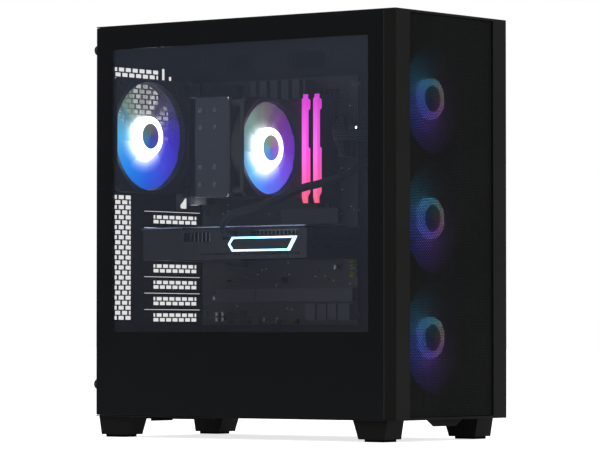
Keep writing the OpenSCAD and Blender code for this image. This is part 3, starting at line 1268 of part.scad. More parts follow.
// ---- Dust filters ----
module top_filter() {
    color("#161618") xy_plate(inner_z1 - dish + sheet, dish) difference() {
        rect(vent_x0 + 0.3, vent_y0 + 0.3, vent_x1 - 0.3, vent_y1 - 0.3);
        w = (vent_x1 - vent_x0 - 20) / 8;
        d = (vent_y1 - vent_y0 - 20) / 16;
        for (i = [0 : 7], j = [0 : 15])
            rect(vent_x0 + 10 + i * w + 1, vent_y0 + 10 + j * d + 1,
                 vent_x0 + 10 + (i + 1) * w - 1, vent_y0 + 10 + (j + 1) * d - 1);
    }
}
module psu_filter() {
    z0 = floor_z - 2.5;
    color("#161618") {
        xy_plate(z0, 2.3) difference() {
            rect(psu_cx - filter_w / 2, filter_y0 + 1, psu_cx + filter_w / 2, rear_y - 4);
            for (i = [-4 : 3], j = [0 : 8])
                rect(psu_cx + i * 14 + 1, filter_y0 + 8 + j * 14,
                     psu_cx + i * 14 + 13, filter_y0 + 20 + j * 14);
        }
        // finger pull
        box([psu_cx - 20, rear_y - 6, z0 - 5], [psu_cx + 20, rear_y - 4, z0 + 2.3]);
    }
}

// ---- What is drawn ----
rear_panel();
motherboard_tray();
top_panel();
bottom_pan();
front_frame();
psu_shroud();
slot_covers();
case_screws();
drive_cage();
feet();
foot_pads();
top_ports();
front_fan_frames();
rear_fan_frame();
psu_case();
psu_inlet();
motherboard();
rear_ports();
board_heatsinks();
processor();
board_sockets();
board_parts();
memory_modules();
memory_light_bars();
cooler_base();
cooler_fins();
cooler_cover();
cooler_fan_frame();
card_board();
card_heatsink();
card_shroud();
card_backplate();
card_bracket();
card_light_frame();
card_cable();
board_cable();
window_glass();
window_frame();
window_thumbscrews();
right_panel();
right_thumbscrews();
front_cover();
cover_clips();
front_mesh();
top_filter();
psu_filter();
power_button();
psu_switch();
front_rotor_top();
front_rotor_middle();
front_rotor_bottom();
rear_rotor();
cooler_rotor();
card_rotor_rear();
card_rotor_front();
psu_rotor();
memory_latch_1();
memory_latch_2();
memory_latch_3();
memory_latch_4();
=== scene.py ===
import json
import math
import random

import bmesh
import bpy
from mathutils import Matrix, Vector


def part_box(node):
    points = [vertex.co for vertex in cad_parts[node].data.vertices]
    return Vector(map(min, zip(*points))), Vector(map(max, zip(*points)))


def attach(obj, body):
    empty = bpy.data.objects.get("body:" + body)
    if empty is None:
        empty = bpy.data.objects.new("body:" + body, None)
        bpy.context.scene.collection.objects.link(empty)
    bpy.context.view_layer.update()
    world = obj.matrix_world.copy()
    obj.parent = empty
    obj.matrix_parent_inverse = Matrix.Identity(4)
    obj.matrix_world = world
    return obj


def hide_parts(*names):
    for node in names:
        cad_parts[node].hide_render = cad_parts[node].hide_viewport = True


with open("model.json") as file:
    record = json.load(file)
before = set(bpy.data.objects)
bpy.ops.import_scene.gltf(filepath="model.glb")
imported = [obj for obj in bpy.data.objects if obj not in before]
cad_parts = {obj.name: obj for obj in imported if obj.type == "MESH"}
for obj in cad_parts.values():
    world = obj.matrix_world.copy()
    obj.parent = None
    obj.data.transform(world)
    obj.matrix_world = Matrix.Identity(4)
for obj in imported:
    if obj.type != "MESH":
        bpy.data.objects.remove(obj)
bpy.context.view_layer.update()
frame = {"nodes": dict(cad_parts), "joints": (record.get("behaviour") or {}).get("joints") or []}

scene = bpy.context.scene
scene.view_settings.view_transform = "Standard"

# ---- Camera ----
# A long lens low down and far off, to the left of the front, so that the glass side and the
# mesh front both show. It looks up very slightly and stays level.
eye_azimuth = math.radians(-52.376)
eye_distance = 4.5424
eye_height = 0.1209
aim_right = 0.004
aim_height = 0.2566
right_way = Vector((math.cos(eye_azimuth), math.sin(eye_azimuth), 0))
eye = Vector((math.sin(eye_azimuth) * eye_distance, -math.cos(eye_azimuth) * eye_distance, eye_height))
aim = right_way * aim_right + Vector((0, 0, aim_height))
camera = bpy.data.objects.new("camera", bpy.data.cameras.new("camera"))
scene.collection.objects.link(camera)
camera.location = eye
camera.rotation_euler = (aim - eye).to_track_quat("-Z", "Y").to_euler()
camera.data.sensor_width = 36
camera.data.lens = 225.7
camera.data.clip_start = 0.1
camera.data.clip_end = 80
scene.camera = camera


# ---- Studio ----
# A white surround and a pale painted floor that keeps a soft shadow, with three soft boxes at a
# plain level: one over the glass side, one over the front and one behind for the far sides.
def linear(code):
    """The linear colour of an sRGB hex value."""
    parts = [int(code[i:i + 2], 16) / 255 for i in (1, 3, 5)]
    return [p / 12.92 if p <= 0.04045 else ((p + 0.055) / 1.055) ** 2.4 for p in parts] + [1]


def add(tree, kind, sockets=None, **settings):
    """Adds a node, with its settings and with values or links for its sockets."""
    made = tree.nodes.new(kind)
    for name, value in settings.items():
        setattr(made, name, value)
    for name, value in (sockets or {}).items():
        if isinstance(value, bpy.types.NodeSocket):
            tree.links.new(value, made.inputs[name])
        else:
            made.inputs[name].default_value = value
    return made


def seen_directly(tree):
    """1 on rays that show the surround itself: to the camera, in a reflection or through glass."""
    ray = add(tree, "ShaderNodeLightPath")
    shown = add(tree, "ShaderNodeMath",
                {0: ray.outputs["Is Camera Ray"], 1: ray.outputs["Is Glossy Ray"]}, operation="MAXIMUM")
    return add(tree, "ShaderNodeMath", {0: shown.outputs[0], 1: ray.outputs["Is Transmission Ray"]},
               operation="MAXIMUM").outputs[0]


surround = bpy.data.worlds.new("white_surround")
scene.world = surround
surround.use_nodes = True
tree = surround.node_tree
tree.nodes.clear()
room_light = add(tree, "ShaderNodeBackground", {"Color": linear("#eceff4"), "Strength": 0.6})
backdrop = add(tree, "ShaderNodeBackground", {"Color": linear("#ffffff"), "Strength": 1.0})
shown = add(tree, "ShaderNodeMixShader",
            {0: seen_directly(tree), 1: room_light.outputs[0], 2: backdrop.outputs[0]})
add(tree, "ShaderNodeOutputWorld", {"Surface": shown.outputs[0]})


def new_finish(name, **sockets):
    """A material with one Principled shader, and the constants of that shader."""
    material = bpy.data.materials.new(name)
    material.use_nodes = True
    tree = material.node_tree
    tree.nodes.clear()
    shader = add(tree, "ShaderNodeBsdfPrincipled",
                 {key.replace("_", " "): value for key, value in sockets.items()})
    add(tree, "ShaderNodeOutputMaterial", {"Surface": shader.outputs[0]})
    return material, tree, shader


# White floor paint: flat and even, so it only carries the shadow.
floor_paint, tree, shader = new_finish("floor_paint", Base_Color=linear("#f4f4f2"), Roughness=0.9,
                                       Specular_IOR_Level=0.1, Emission_Color=linear("#ffffff"))
lift = add(tree, "ShaderNodeMath", {0: seen_directly(tree), 1: 0.74}, operation="MULTIPLY")
tree.links.new(lift.outputs[0], shader.inputs["Emission Strength"])

floor_half = 30.0
floor_mesh = bpy.data.meshes.new("studio_floor")
floor_drop = 0.0002
floor_corners = [(x * floor_half, y * floor_half, -floor_drop)
                 for x, y in ((-1, -1), (1, -1), (1, 1), (-1, 1))]
floor_mesh.from_pydata(floor_corners, [], [(0, 1, 2, 3)])
floor_mesh.materials.append(floor_paint)
studio_floor = bpy.data.objects.new("studio_floor", floor_mesh)
scene.collection.objects.link(studio_floor)

for name, place, side, watts in (("soft_box_glass", (-2.4, -0.9, 2.3), 1.8, 26),
                                 ("soft_box_front", (0.9, -2.6, 2.2), 1.6, 20),
                                 ("soft_box_behind", (1.4, 2.2, 2.3), 1.6, 20)):
    lamp = bpy.data.lights.new(name, "AREA")
    lamp.energy = watts
    lamp.size = side
    soft_box = bpy.data.objects.new(name, lamp)
    scene.collection.objects.link(soft_box)
    soft_box.location = place
    soft_box.rotation_euler = (Vector((0, 0, 0.25)) - Vector(place)).to_track_quat("-Z", "Y").to_euler()

# ---- Chassis ----
# The folded steel skeleton: rear wall, motherboard tray, top and bottom, front frame, basement
# cover and slot covers, powder coated black, and the drive cage in a greyer coat.
mm = 0.001


def pebbled(name, colour, pebble, depth, roughness, specular, blotch=0.25):
    """A finish with a fine pebble of that size in mm, and a soft change of gloss over a hand's width."""
    uneven = 0.06
    material, tree, shader = new_finish(name, Specular_IOR_Level=specular)
    place = add(tree, "ShaderNodeTexCoord").outputs["Object"]
    pebbles = add(tree, "ShaderNodeTexNoise", {"Vector": place, "Scale": 1 / (pebble * mm), "Detail": 2.0})
    handling = add(tree, "ShaderNodeTexNoise", {"Vector": place, "Scale": 14.0, "Detail": 3.0})
    tint = add(tree, "ShaderNodeMix", {"Factor": handling.outputs["Fac"]}, data_type="RGBA")
    deep = linear(colour)
    tint.inputs[6].default_value = deep
    tint.inputs[7].default_value = [min(1, c * (1 + blotch)) for c in deep[:3]] + [1]
    tree.links.new(tint.outputs[2], shader.inputs["Base Color"])
    gloss = add(tree, "ShaderNodeMapRange",
                {"Value": handling.outputs["Fac"], "From Min": 0.3, "From Max": 0.7,
                 "To Min": roughness - uneven, "To Max": roughness + uneven})
    tree.links.new(gloss.outputs[0], shader.inputs["Roughness"])
    relief = add(tree, "ShaderNodeBump",
                 {"Height": pebbles.outputs["Fac"], "Distance": depth * mm, "Strength": 0.6})
    tree.links.new(relief.outputs[0], shader.inputs["Normal"])
    return material


def dress(material, *nodes):
    """Gives CAD nodes a finish in place of the plain colour that they came with."""
    for name in nodes:
        for slot in frame["nodes"][name].material_slots:
            slot.material = material


# Powder coat: polyester powder baked on steel. It is satin black with a faint orange peel. The inner
# sheets carry the same coat painted greyer than the outer ones: painted light for the light inside the case.
outer_coat = pebbled("outer_powder_coat", "#111214", pebble=1.2, depth=0.03, roughness=0.5, specular=0.08)
inner_coat_painted_light = pebbled("inner_powder_coat", "#191b1f", pebble=1.2, depth=0.03, roughness=0.5, specular=0.14)
dress(outer_coat, "top_panel", "bottom_pan", "right_panel", "window_frame")
dress(inner_coat_painted_light, "rear_panel", "motherboard_tray", "front_frame", "psu_shroud", "slot_covers")

# The drive cage's coat is dark grey, with a coarser peel and a little more gloss.
cage_coat = pebbled("drive_cage_coat", "#26282b", pebble=1.6, depth=0.03, roughness=0.45, specular=0.2)
dress(cage_coat, "drive_cage")

# ---- Feet ----
# Two hollow ABS mouldings on each side, tapered towards the floor, with soft rubber pads.
moulded_abs = pebbled("moulded_abs", "#111110", pebble=0.7, depth=0.02, roughness=0.55, specular=0.05)
pad_rubber = pebbled("pad_rubber", "#101010", pebble=0.5, depth=0.04, roughness=0.85, specular=0.05)
dress(moulded_abs, "feet")
dress(pad_rubber, "foot_pads")


# ---- Case screws and standoffs ----
# Pan-head screws, zinc plated, in the board, the rear wall and the slot covers, and the brass
# standoffs that hold the board off its tray.
def metal(name, colour, roughness, grain_mm, stretch=(1, 1, 1), uneven=0.08):
    """A bare or plated metal with fine drawn or brushed marks, longest along the smallest stretch."""
    material, tree, shader = new_finish(name, Base_Color=linear(colour), Metallic=1.0)
    place = add(tree, "ShaderNodeTexCoord").outputs["Object"]
    laid = add(tree, "ShaderNodeMapping", {"Vector": place, "Scale": stretch})
    marks = add(tree, "ShaderNodeTexNoise",
                {"Vector": laid.outputs[0], "Scale": 1 / (grain_mm * mm), "Detail": 3.0})
    gloss = add(tree, "ShaderNodeMapRange",
                {"Value": marks.outputs["Fac"], "From Min": 0.3, "From Max": 0.7,
                 "To Min": roughness - uneven, "To Max": roughness + uneven})
    tree.links.new(gloss.outputs[0], shader.inputs["Roughness"])
    scratch_depth = 0.004 * mm
    relief = add(tree, "ShaderNodeBump",
                 {"Height": marks.outputs["Fac"], "Distance": scratch_depth, "Strength": 0.5})
    tree.links.new(relief.outputs[0], shader.inputs["Normal"])
    return material


def kept(made):
    """Applies a piece's modifiers, so that it is a plain mesh."""
    bpy.context.view_layer.update()
    shown = made.evaluated_get(bpy.context.evaluated_depsgraph_get())
    mesh = bpy.data.meshes.new_from_object(shown)
    mesh.name = made.name
    made.modifiers.clear()
    made.data = mesh
    return made


def part(name, shape, *finishes):
    """Makes an object of a bmesh; edges sharper than 35 degrees stay crisp."""
    crisp = math.radians(35)
    bmesh.ops.recalc_face_normals(shape, faces=shape.faces)
    for face in shape.faces:
        face.smooth = True
    for edge in shape.edges:
        edge.smooth = edge.is_manifold and edge.calc_face_angle(0) < crisp
    mesh = bpy.data.meshes.new(name)
    shape.to_mesh(mesh)
    shape.free()
    for finish in finishes:
        mesh.materials.append(finish)
    made = bpy.data.objects.new(name, mesh)
    scene.collection.objects.link(made)
    return made


def joined(name, pieces):
    """Makes one piece of several, each with its own finish."""
    with bpy.context.temp_override(active_object=pieces[0], object=pieces[0], selected_objects=pieces,
                                   selected_editable_objects=pieces):
        bpy.ops.object.join()
    pieces[0].name = pieces[0].data.name = name
    return pieces[0]


def placed(made, place=(0, 0, 0), axis="X", degrees=0):
    """Turns a piece about an axis of the origin and moves it, in its mesh."""
    made.data.transform(Matrix.Translation(place) @ Matrix.Rotation(math.radians(degrees), 4, axis))
    return made


def installed(made, body, slot, *nodes):
    """Rides a finished piece on its body, in place of the named CAD nodes."""
    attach(made, body)
    for node in nodes:
        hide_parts(node)
    return made


def add_turned(shape, profile, steps=64):
    """Adds a form turned about Z; profile holds (radius, height), and a radius of 0 is a pole."""
    rings = []
    for radius, height in profile:
        if radius == 0:
            rings.append([shape.verts.new((0, 0, height))] * steps)
        else:
            rings.append([shape.verts.new((radius * math.cos(a), radius * math.sin(a), height))
                          for a in (2 * math.pi * i / steps for i in range(steps))])
    faces = []
    for inner, outer in zip(rings, rings[1:]):
        for i in range(steps):
            j = (i + 1) % steps
            corners = list(dict.fromkeys((inner[i], outer[i], outer[j], inner[j])))
            if len(corners) > 2:
                faces.append(shape.faces.new(corners))
    return faces


def in_mm(*profile):
    """A profile whose (radius, height) pairs are given in mm."""
    return [(radius * mm, height * mm) for radius, height in profile]


def add_prism(shape, outline, low, high):
    """Adds a prism over a flat outline, between two heights."""
    rings = [[shape.verts.new((x, y, z)) for x, y in outline] for z in (low, high)]
    shape.faces.new(rings[0][::-1])
    shape.faces.new(rings[1])
    for i in range(len(outline)):
        j = (i + 1) % len(outline)
        shape.faces.new((rings[0][i], rings[0][j], rings[1][j], rings[1][i]))


def new_tree(name, **inputs):
    """An empty Geometry Nodes tree with its named inputs, and its group input node."""
    tree = bpy.data.node_groups.new(name, "GeometryNodeTree")
    tree.interface.new_socket("Geometry", in_out="INPUT", socket_type="NodeSocketGeometry")
    tree.interface.new_socket("Geometry", in_out="OUTPUT", socket_type="NodeSocketGeometry")
    for label, kind in inputs.items():
        tree.interface.new_socket(label, in_out="INPUT", socket_type="NodeSocket" + kind)
    return tree, tree.nodes.new("NodeGroupInput")


def close_tree(tree, copies, given):
    """Ends a tree: copies become real mesh and take the finish, and the result goes out."""
    real = add(tree, "GeometryNodeRealizeInstances", {"Geometry": copies})
    finished = add(tree, "GeometryNodeSetMaterial",
                   {"Geometry": real.outputs[0], "Material": given.outputs["Finish"]})
    add(tree, "NodeGroupOutput", {"Geometry": finished.outputs[0]})


def grown(name, tree, sizes, start):
    """Runs a Geometry Nodes tree on a start piece and keeps the result as a plain mesh."""
    step = start.modifiers.new("grow", "NODES")
    step.node_group = tree
    for item in tree.interface.items_tree:
        if item.name in sizes:
            step[item.identifier] = sizes[item.name]
    start.name = name
    return kept(start)


# Copies of the start mesh at each point of the object called Places.
at_places, given = new_tree("copies_at_places", Places="Object", Finish="Material")
spots = add(at_places, "GeometryNodeObjectInfo", {"Object": given.outputs["Places"]})
copies = add(at_places, "GeometryNodeInstanceOnPoints",
             {"Points": spots.outputs["Geometry"], "Instance": given.outputs["Geometry"]})
close_tree(at_places, copies.outputs[0], given)


def copies_at(name, start, points, finish):
    """Copies of a start piece at the given points, as one plain mesh."""
    places = bpy.data.objects.new("places", bpy.data.meshes.new("places"))
    places.data.from_pydata([tuple(p) for p in points], [], [])
    scene.collection.objects.link(places)
    made = grown(name, at_places, {"Places": places, "Finish": finish}, start)
    bpy.data.objects.remove(places)
    return made


def pan_head(radius, height):
    """A low domed head on the XY plane, its cross recess towards +Z."""
    dome = bmesh.new()
    add_turned(dome, [(0, 0), (radius * 0.95, 0), (radius, height * 0.15), (radius * 0.95, height * 0.6),
                      (radius * 0.7, height * 0.92), (radius * 0.3, height), (0, height)], steps=20)
    head = part("head", dome)
    long, thin = radius * 0.62, radius * 0.13
    cross = bmesh.new()
    plus = [(long, thin), (thin, thin), (thin, long), (-thin, long), (-thin, thin), (-long, thin),
            (-long, -thin), (-thin, -thin), (-thin, -long), (thin, -long), (thin, -thin), (long, -thin)]
    add_prism(cross, plus, height * 0.35, height * 1.2)
    recess = part("recess", cross)
    cut = head.modifiers.new("recess", "BOOLEAN")
    cut.object = recess
    cut.operation = "DIFFERENCE"
    kept(head)
    bpy.data.objects.remove(recess)
    return head


def screws_at(name, radius, height, axis, points, finish):
    """Pan-head screws of one size in mm, turned about an axis so that they face out."""
    return copies_at(name, placed(pan_head(radius * mm, height * mm), axis=axis, degrees=-90), points, finish)


# Zinc plate: pale bluish steel, a little cloudy, or blackened on the screws that show inside.
# Brass: warm yellow, turned from hexagon bar.
zinc_plate = metal("zinc_plate", "#9a9ca0", 0.35, 0.8)
black_zinc = metal("black_zinc", "#4b4d52", 0.4, 0.8)
turned_brass = metal("turned_brass", "#b08a3c", 0.3, 0.5, (1, 1, 0.2))
board_low, board_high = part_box("motherboard")
covers_low, covers_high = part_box("slot_covers")
wall_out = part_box("rear_ports")[1].y
first_slot = 9.2
slot_pitch = 20.32
slot_z = [covers_low.z + (first_slot + slot_pitch * i) * mm for i in range(7)]
rear_fan_low, rear_fan_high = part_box("rear_fan_frame")
rear_fan = (rear_fan_low + rear_fan_high) / 2
rear_fan_screw = 62.25 * mm
hole_drops = (10.16, 165.1, 292.1)
hole_columns = (board_high.y - 6.35 * mm, board_high.y - 163.83 * mm, board_low.y + 6.5 * mm)
board_spots = [(board_low.x, y, board_high.z - z * mm) for z in hole_drops for y in hole_columns]
slot_spots = [(covers_low.x, covers_high.y - 4 * mm, z - 4.2 * mm) for z in slot_z]
fan_spots = [(rear_fan.x + x * rear_fan_screw, wall_out, rear_fan.z + z * rear_fan_screw)
             for x in (-1, 1) for z in (-1, 1)]
supply_low, supply_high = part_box("psu_case")
supply_spots = [(x, wall_out, z) for x in (supply_low.x + 2.4 * mm, supply_high.x - 2.4 * mm)
                for z in (supply_low.z + 8 * mm, supply_high.z - 8 * mm)]
pillar_r = 3.35 * mm
pillar_height = 6.4 * mm
hexagon = [(pillar_r * math.cos(math.radians(a)), pillar_r * math.sin(math.radians(a)))
           for a in range(0, 360, 60)]
pillar = bmesh.new()
add_prism(pillar, hexagon, 0, pillar_height)
screws = joined("screws_and_standoffs", [
    screws_at("board_screws", 3.2, 2, "Y", board_spots, black_zinc),
    screws_at("slot_screws", 2.9, 2, "Y", slot_spots, zinc_plate),
    screws_at("fan_screws", 4, 1.6, "X", fan_spots, zinc_plate),
    screws_at("supply_screws", 2.2, 1.8, "X", supply_spots, zinc_plate),
    copies_at("standoffs", placed(part("pillar", pillar), axis="Y", degrees=90),
              [(board_high.x + 0.05 * mm, y, z) for _, y, z in board_spots], turned_brass)])
installed(screws, "case", "screw_steel", "case_screws")

# ---- Motherboard ----
# A glass-fibre board under black solder mask. Its copper tracks show as fine ridges in the mask,
# drawn a little coarser than real ones so that they hold at a distance.
solder_mask, tree, shader = new_finish("solder_mask", Roughness=0.38, Specular_IOR_Level=0.35)
place = add(tree, "ShaderNodeTexCoord").outputs["Object"]
track_field = 38 * mm
cells = add(tree, "ShaderNodeTexVoronoi", {"Vector": place, "Scale": 1 / track_field}, distance="MANHATTAN")
tracks = add(tree, "ShaderNodeMath", {0: cells.outputs["Distance"], 1: 26.0}, operation="MULTIPLY")
tracks = add(tree, "ShaderNodeMath", {0: tracks.outputs[0], 1: 0.5}, operation="PINGPONG")
tracks = add(tree, "ShaderNodeMapRange", {"Value": tracks.outputs[0], "From Min": 0.26, "From Max": 0.32})
tint = add(tree, "ShaderNodeMix", {"Factor": tracks.outputs[0]}, data_type="RGBA")
tint.inputs[6].default_value = linear("#1a1d25")
tint.inputs[7].default_value = linear("#262a35")
tree.links.new(tint.outputs[2], shader.inputs["Base Color"])
track_height = 0.05 * mm
relief = add(tree, "ShaderNodeBump",
             {"Height": tracks.outputs[0], "Distance": track_height, "Strength": 0.5})
tree.links.new(relief.outputs[0], shader.inputs["Normal"])
dress(solder_mask, "motherboard", "card_board")

# Glass-filled nylon of slots, sockets and latches: flat, faintly grained, dark grey.
socket_nylon = pebbled("socket_nylon", "#24262d", pebble=0.5, depth=0.01, roughness=0.5, specular=0.3)
dress(socket_nylon, "board_sockets", "memory_latch_1", "memory_latch_2", "memory_latch_3", "memory_latch_4")

# Bead-blasted aluminium, anodised and dyed slate: like fine dark sand.
slate_anodised = pebbled("slate_anodised", "#292e3a", pebble=0.4, depth=0.02, roughness=0.42, specular=0.5)
dress(slate_anodised, "board_heatsinks", "memory_modules")

# Bare shells of the rear sockets: the same bright zinc as the screws.
dress(zinc_plate, "rear_ports")


# ---- Parts on the board ----
# What the board carries on its face: moulded chokes, capacitor cans, pin headers, power sockets
# and a scatter of small soldered parts.
def add_block(shape, low, high, edge=0.4):
    """Adds a box between two corners in mm, its edges broken by a bevel of that size."""
    corners = bmesh.ops.create_cube(shape, size=1)["verts"]
    for corner in corners:
        corner.co = [(low[i] + (high[i] - low[i]) * (corner.co[i] + 0.5)) * mm for i in range(3)]
    edges = {line for corner in corners for line in corner.link_edges}
    bmesh.ops.bevel(shape, geom=list(edges), offset=edge * mm, segments=2, affect="EDGES", profile=0.5)


def blocks(name, finish, *corners, edge=0.4):
    """One piece of several bevelled blocks, each given by its two corners in mm."""
    shape = bmesh.new()
    for low, high in corners:
        add_block(shape, low, high, edge)
    return part(name, shape, finish)


def on_board(made):
    """Turns a piece built on the XY plane so that it rises from the face of the board."""
    return placed(made, axis="Y", degrees=-90)


# Ferrite chokes: pressed grey powder with rounded corners and a darker coil window.
choke_ferrite = pebbled("choke_ferrite", "#3a3d44", pebble=0.35, depth=0.03, roughness=0.6, specular=0.2)
# Capacitor cans: drawn aluminium, polished by the drawing, scored on top.
can_aluminium = metal("can_aluminium", "#8e929a", 0.25, 0.4, (1, 1, 0.1))
can_band = pebbled("can_band", "#14161c", pebble=0.4, depth=0.01, roughness=0.4, specular=0.3)
# Gold flash on contacts: thin and warm, with a slight bloom.
gold_flash = metal("gold_flash", "#c9a14e", 0.25, 0.3)
tin_leads = metal("tin_leads", "#a8abb0", 0.35, 0.3)
chip_epoxy = pebbled("chip_epoxy", "#17181c", pebble=0.3, depth=0.01, roughness=0.45, specular=0.3)
panel_nylon = pebbled("panel_header_nylon", "#b4c23c", pebble=0.4, depth=0.01, roughness=0.5, specular=0.2)

socket_low, socket_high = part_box("processor")
cpu_y = (socket_low.y + socket_high.y) / 2
cpu_z = (socket_low.z + socket_high.z) / 2
# Eight chokes stand in a column behind the processor, and four in a row above it.
choke_column = [(board_low.x, cpu_y + 37 * mm, cpu_z + (13 * i - 47) * mm) for i in range(8)]
choke_row = [(board_low.x, cpu_y + (15 * i - 30.5) * mm, board_high.z - 35 * mm) for i in range(4)]
choke_spots = choke_column + choke_row
# Cans stand in front of the processor, between the slots and low at the rear.
processor_cans = [(board_low.x, cpu_y - 36 * mm, cpu_z + z * mm) for z in (30, 0, -30)]
slot_cans = [(board_low.x, board_low.y + y * mm, slot_z[i] + z * mm)
             for y, i, z in ((30, 5, 6), (120, 0, -3), (140, 0, -3), (30, 3, 0))]
rear_cans = [(board_low.x, board_high.y - y * mm, board_low.z + z * mm)
             for y, z in ((24.2, 33.7), (28.3, 13.7), (37.9, 13.7), (28.3, 6.6), (37.9, 6.6))]
can_spots = processor_cans + slot_cans + rear_cans
choke = blocks("choke", choke_ferrite, ((-5, -5, 0), (5, 5, 6)), edge=0.9)
coil = blocks("coil", choke_ferrite, ((-3.4, -3.4, 5.8), (3.4, 3.4, 6.25)), edge=0.2)
can = bmesh.new()
add_turned(can, in_mm((0, 0.9), (3.1, 0.9), (3.15, 1.6), (2.85, 2.1), (3.15, 2.6), (3.15, 7.6),
                      (2.8, 8), (0, 8)), steps=20)
band_r = 2.7 * mm
half_disc = [(band_r * math.cos(math.radians(a)), band_r * math.sin(math.radians(a)))
             for a in range(20, 161, 20)]
band = bmesh.new()
add_prism(band, half_disc, 7.9 * mm, 8.06 * mm)
seeded = random.Random(11)
chip_count = 170
square_chips = 70
front_margin = 0.008
rear_margin = 0.03
end_margin = 0.012
chips = []
for _ in range(chip_count):
    y = seeded.uniform(board_low.y + front_margin, board_high.y - rear_margin)
    z = seeded.uniform(board_low.z + end_margin, board_high.z - end_margin)
    chips.append((board_low.x, y, z))
# Four long headers along the lower edge, and four panel headers at the front edge.
first_header = 99
header_step = 28
first_pin = 91.2
pin_step = 2.0
panel_step = 8.5
pins = [(board_low.x, board_low.y + (first_pin + header_step * i + pin_step * k) * mm, board_low.z + z * mm)
        for i in range(4) for k in range(9) for z in (3.1, 5.4)]
panel_pins = [(board_low.x, board_low.y + y * mm, slot_z[3] + (panel_step * k - 9 + z) * mm)
              for k in range(4) for y in (2.4, 4.6) for z in (-2.0, 0.0, 2.0)]


def shroud_header(name, finish, long, wide, tall, wall=0.9):
    """A box header open at its top, as four walls round a floor."""
    corner = (-wide, -long, 0)
    base = (corner, (wide, long, 1.5))
    sides = [(corner, (wall - wide, long, tall)), ((wide - wall, -long, 0), (wide, long, tall))]
    ends = [(corner, (wide, wall - long, tall)), ((-wide, long - wall, 0), (wide, long, tall))]
    return blocks(name, finish, base, *sides, *ends, edge=0.15)


def contact_pin(tall):
    """A square gilt pin, from inside its header's floor to that height in mm."""
    return on_board(blocks("pin", gold_flash, ((-0.32, -0.32, 1), (0.32, 0.32, tall)), edge=0.12))


board_pieces = [
    copies_at("chokes", on_board(choke), choke_spots, choke_ferrite),
    copies_at("coils", on_board(coil), choke_spots, chip_epoxy),
    copies_at("cans", on_board(part("can", can)), can_spots, can_aluminium),
    copies_at("bands", on_board(part("band", band)), can_spots, can_band),
    copies_at("chips", on_board(blocks("chip", chip_epoxy, ((-1.6, -0.9, 0), (1.6, 0.9, 0.8)), edge=0.1)),
              chips[:square_chips], chip_epoxy),
    copies_at("dots", on_board(blocks("dot", chip_epoxy, ((-0.5, -1, 0), (0.5, 1, 0.6)), edge=0.1)),
              chips[square_chips:], tin_leads),
    copies_at("long_headers", on_board(shroud_header("header", socket_nylon, 9, 2.75, 8.5)),
              [(board_low.x, board_low.y + (first_header + header_step * i) * mm, board_low.z + 4.25 * mm)
               for i in range(4)], socket_nylon),
    copies_at("pins", contact_pin(7.6), pins, gold_flash),
    copies_at("panel_headers", on_board(shroud_header("header", panel_nylon, 2, 3, 8.5, 0.6)),
              [(board_low.x, board_low.y + 3.5 * mm, slot_z[3] + (panel_step * k - 9) * mm)
               for k in range(4)], panel_nylon),
    copies_at("panel_pins", contact_pin(7), panel_pins, gold_flash),
]
# Power sockets: a row of square wells for the two rows of contacts.
plug_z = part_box("board_cable")[1].z - 25 * mm
well_step = 4.2
wells = [(y * well_step, z * well_step) for y in (-0.5, 0.5) for z in (-1.5, -0.5, 0.5, 1.5)]
well = shroud_header("well", socket_nylon, 2.1, 2.1, 12, 0.5)
processor_wells = [(board_low.x, cpu_y + (79 + y) * mm, board_high.z - (14.5 + z) * mm) for y, z in wells]
main_wells = [(board_low.x, board_low.y + (7 + y) * mm, plug_z + (z * well_step) * mm)
              for y in (-2.1, 2.1) for z in [k - 5.5 for k in range(12)]]
board_pieces.append(copies_at("power_socket", on_board(well), processor_wells + main_wells, socket_nylon))

# A small lens at the front edge of the board that glows a bright green-white.
chip_glow, tree, shader = new_finish("signal_lamp", Base_Color=linear("#e0e4e8"), Roughness=0.4,
                                     Emission_Color=linear("#dcffe8"), Emission_Strength=14.0)
lens = bmesh.new()
add_turned(lens, in_mm((0, 0), (1.2, 0), (1.2, 0.5), (0.6, 0.95), (0, 1.05)), steps=14)
board_pieces.append(placed(on_board(part("signal_lamp", lens, chip_glow)),
                           (board_low.x, board_low.y + 2.8 * mm, board_low.z + 241 * mm)))
installed(joined("board_components", board_pieces), "case", "board_parts", "board_parts")

# ---- Memory ----
# Two modules in dark anodised shells; a frosted light bar runs along the outer edge of each.
low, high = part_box("memory_light_bars")
bar_glow, tree, shader = new_finish("lit_memory_diffuser", Base_Color=linear("#c060b0"), Roughness=0.5,
                                    Emission_Strength=1.12)


def ramp(tree, factor, stops):
    """A colour ramp over a factor; its stops are (position, hex colour or grey level)."""
    made = add(tree, "ShaderNodeValToRGB", {"Fac": factor})
    scale = made.color_ramp
    for position, _ in stops[1:-1]:
        scale.elements.new(position)
    for stop, (position, value) in zip(scale.elements, stops):
        stop.position = position
        stop.color = linear(value) if isinstance(value, str) else (value, value, value, 1)
    return made.outputs[0]


place = add(tree, "ShaderNodeTexCoord").outputs["Object"]
height = add(tree, "ShaderNodeSeparateXYZ", {0: place}).outputs["Z"]
along = add(tree, "ShaderNodeMapRange", {"Value": height, "From Min": low.z, "From Max": high.z})
hues = ramp(tree, along.outputs[0], [(0, "#ff6070"), (0.22, "#ff58a8"), (0.5, "#fa4ede"), (0.8, "#ee48e2"),
                                     (1, "#d032d0")])
tree.links.new(hues, shader.inputs["Emission Color"])
dress(bar_glow, "memory_light_bars")
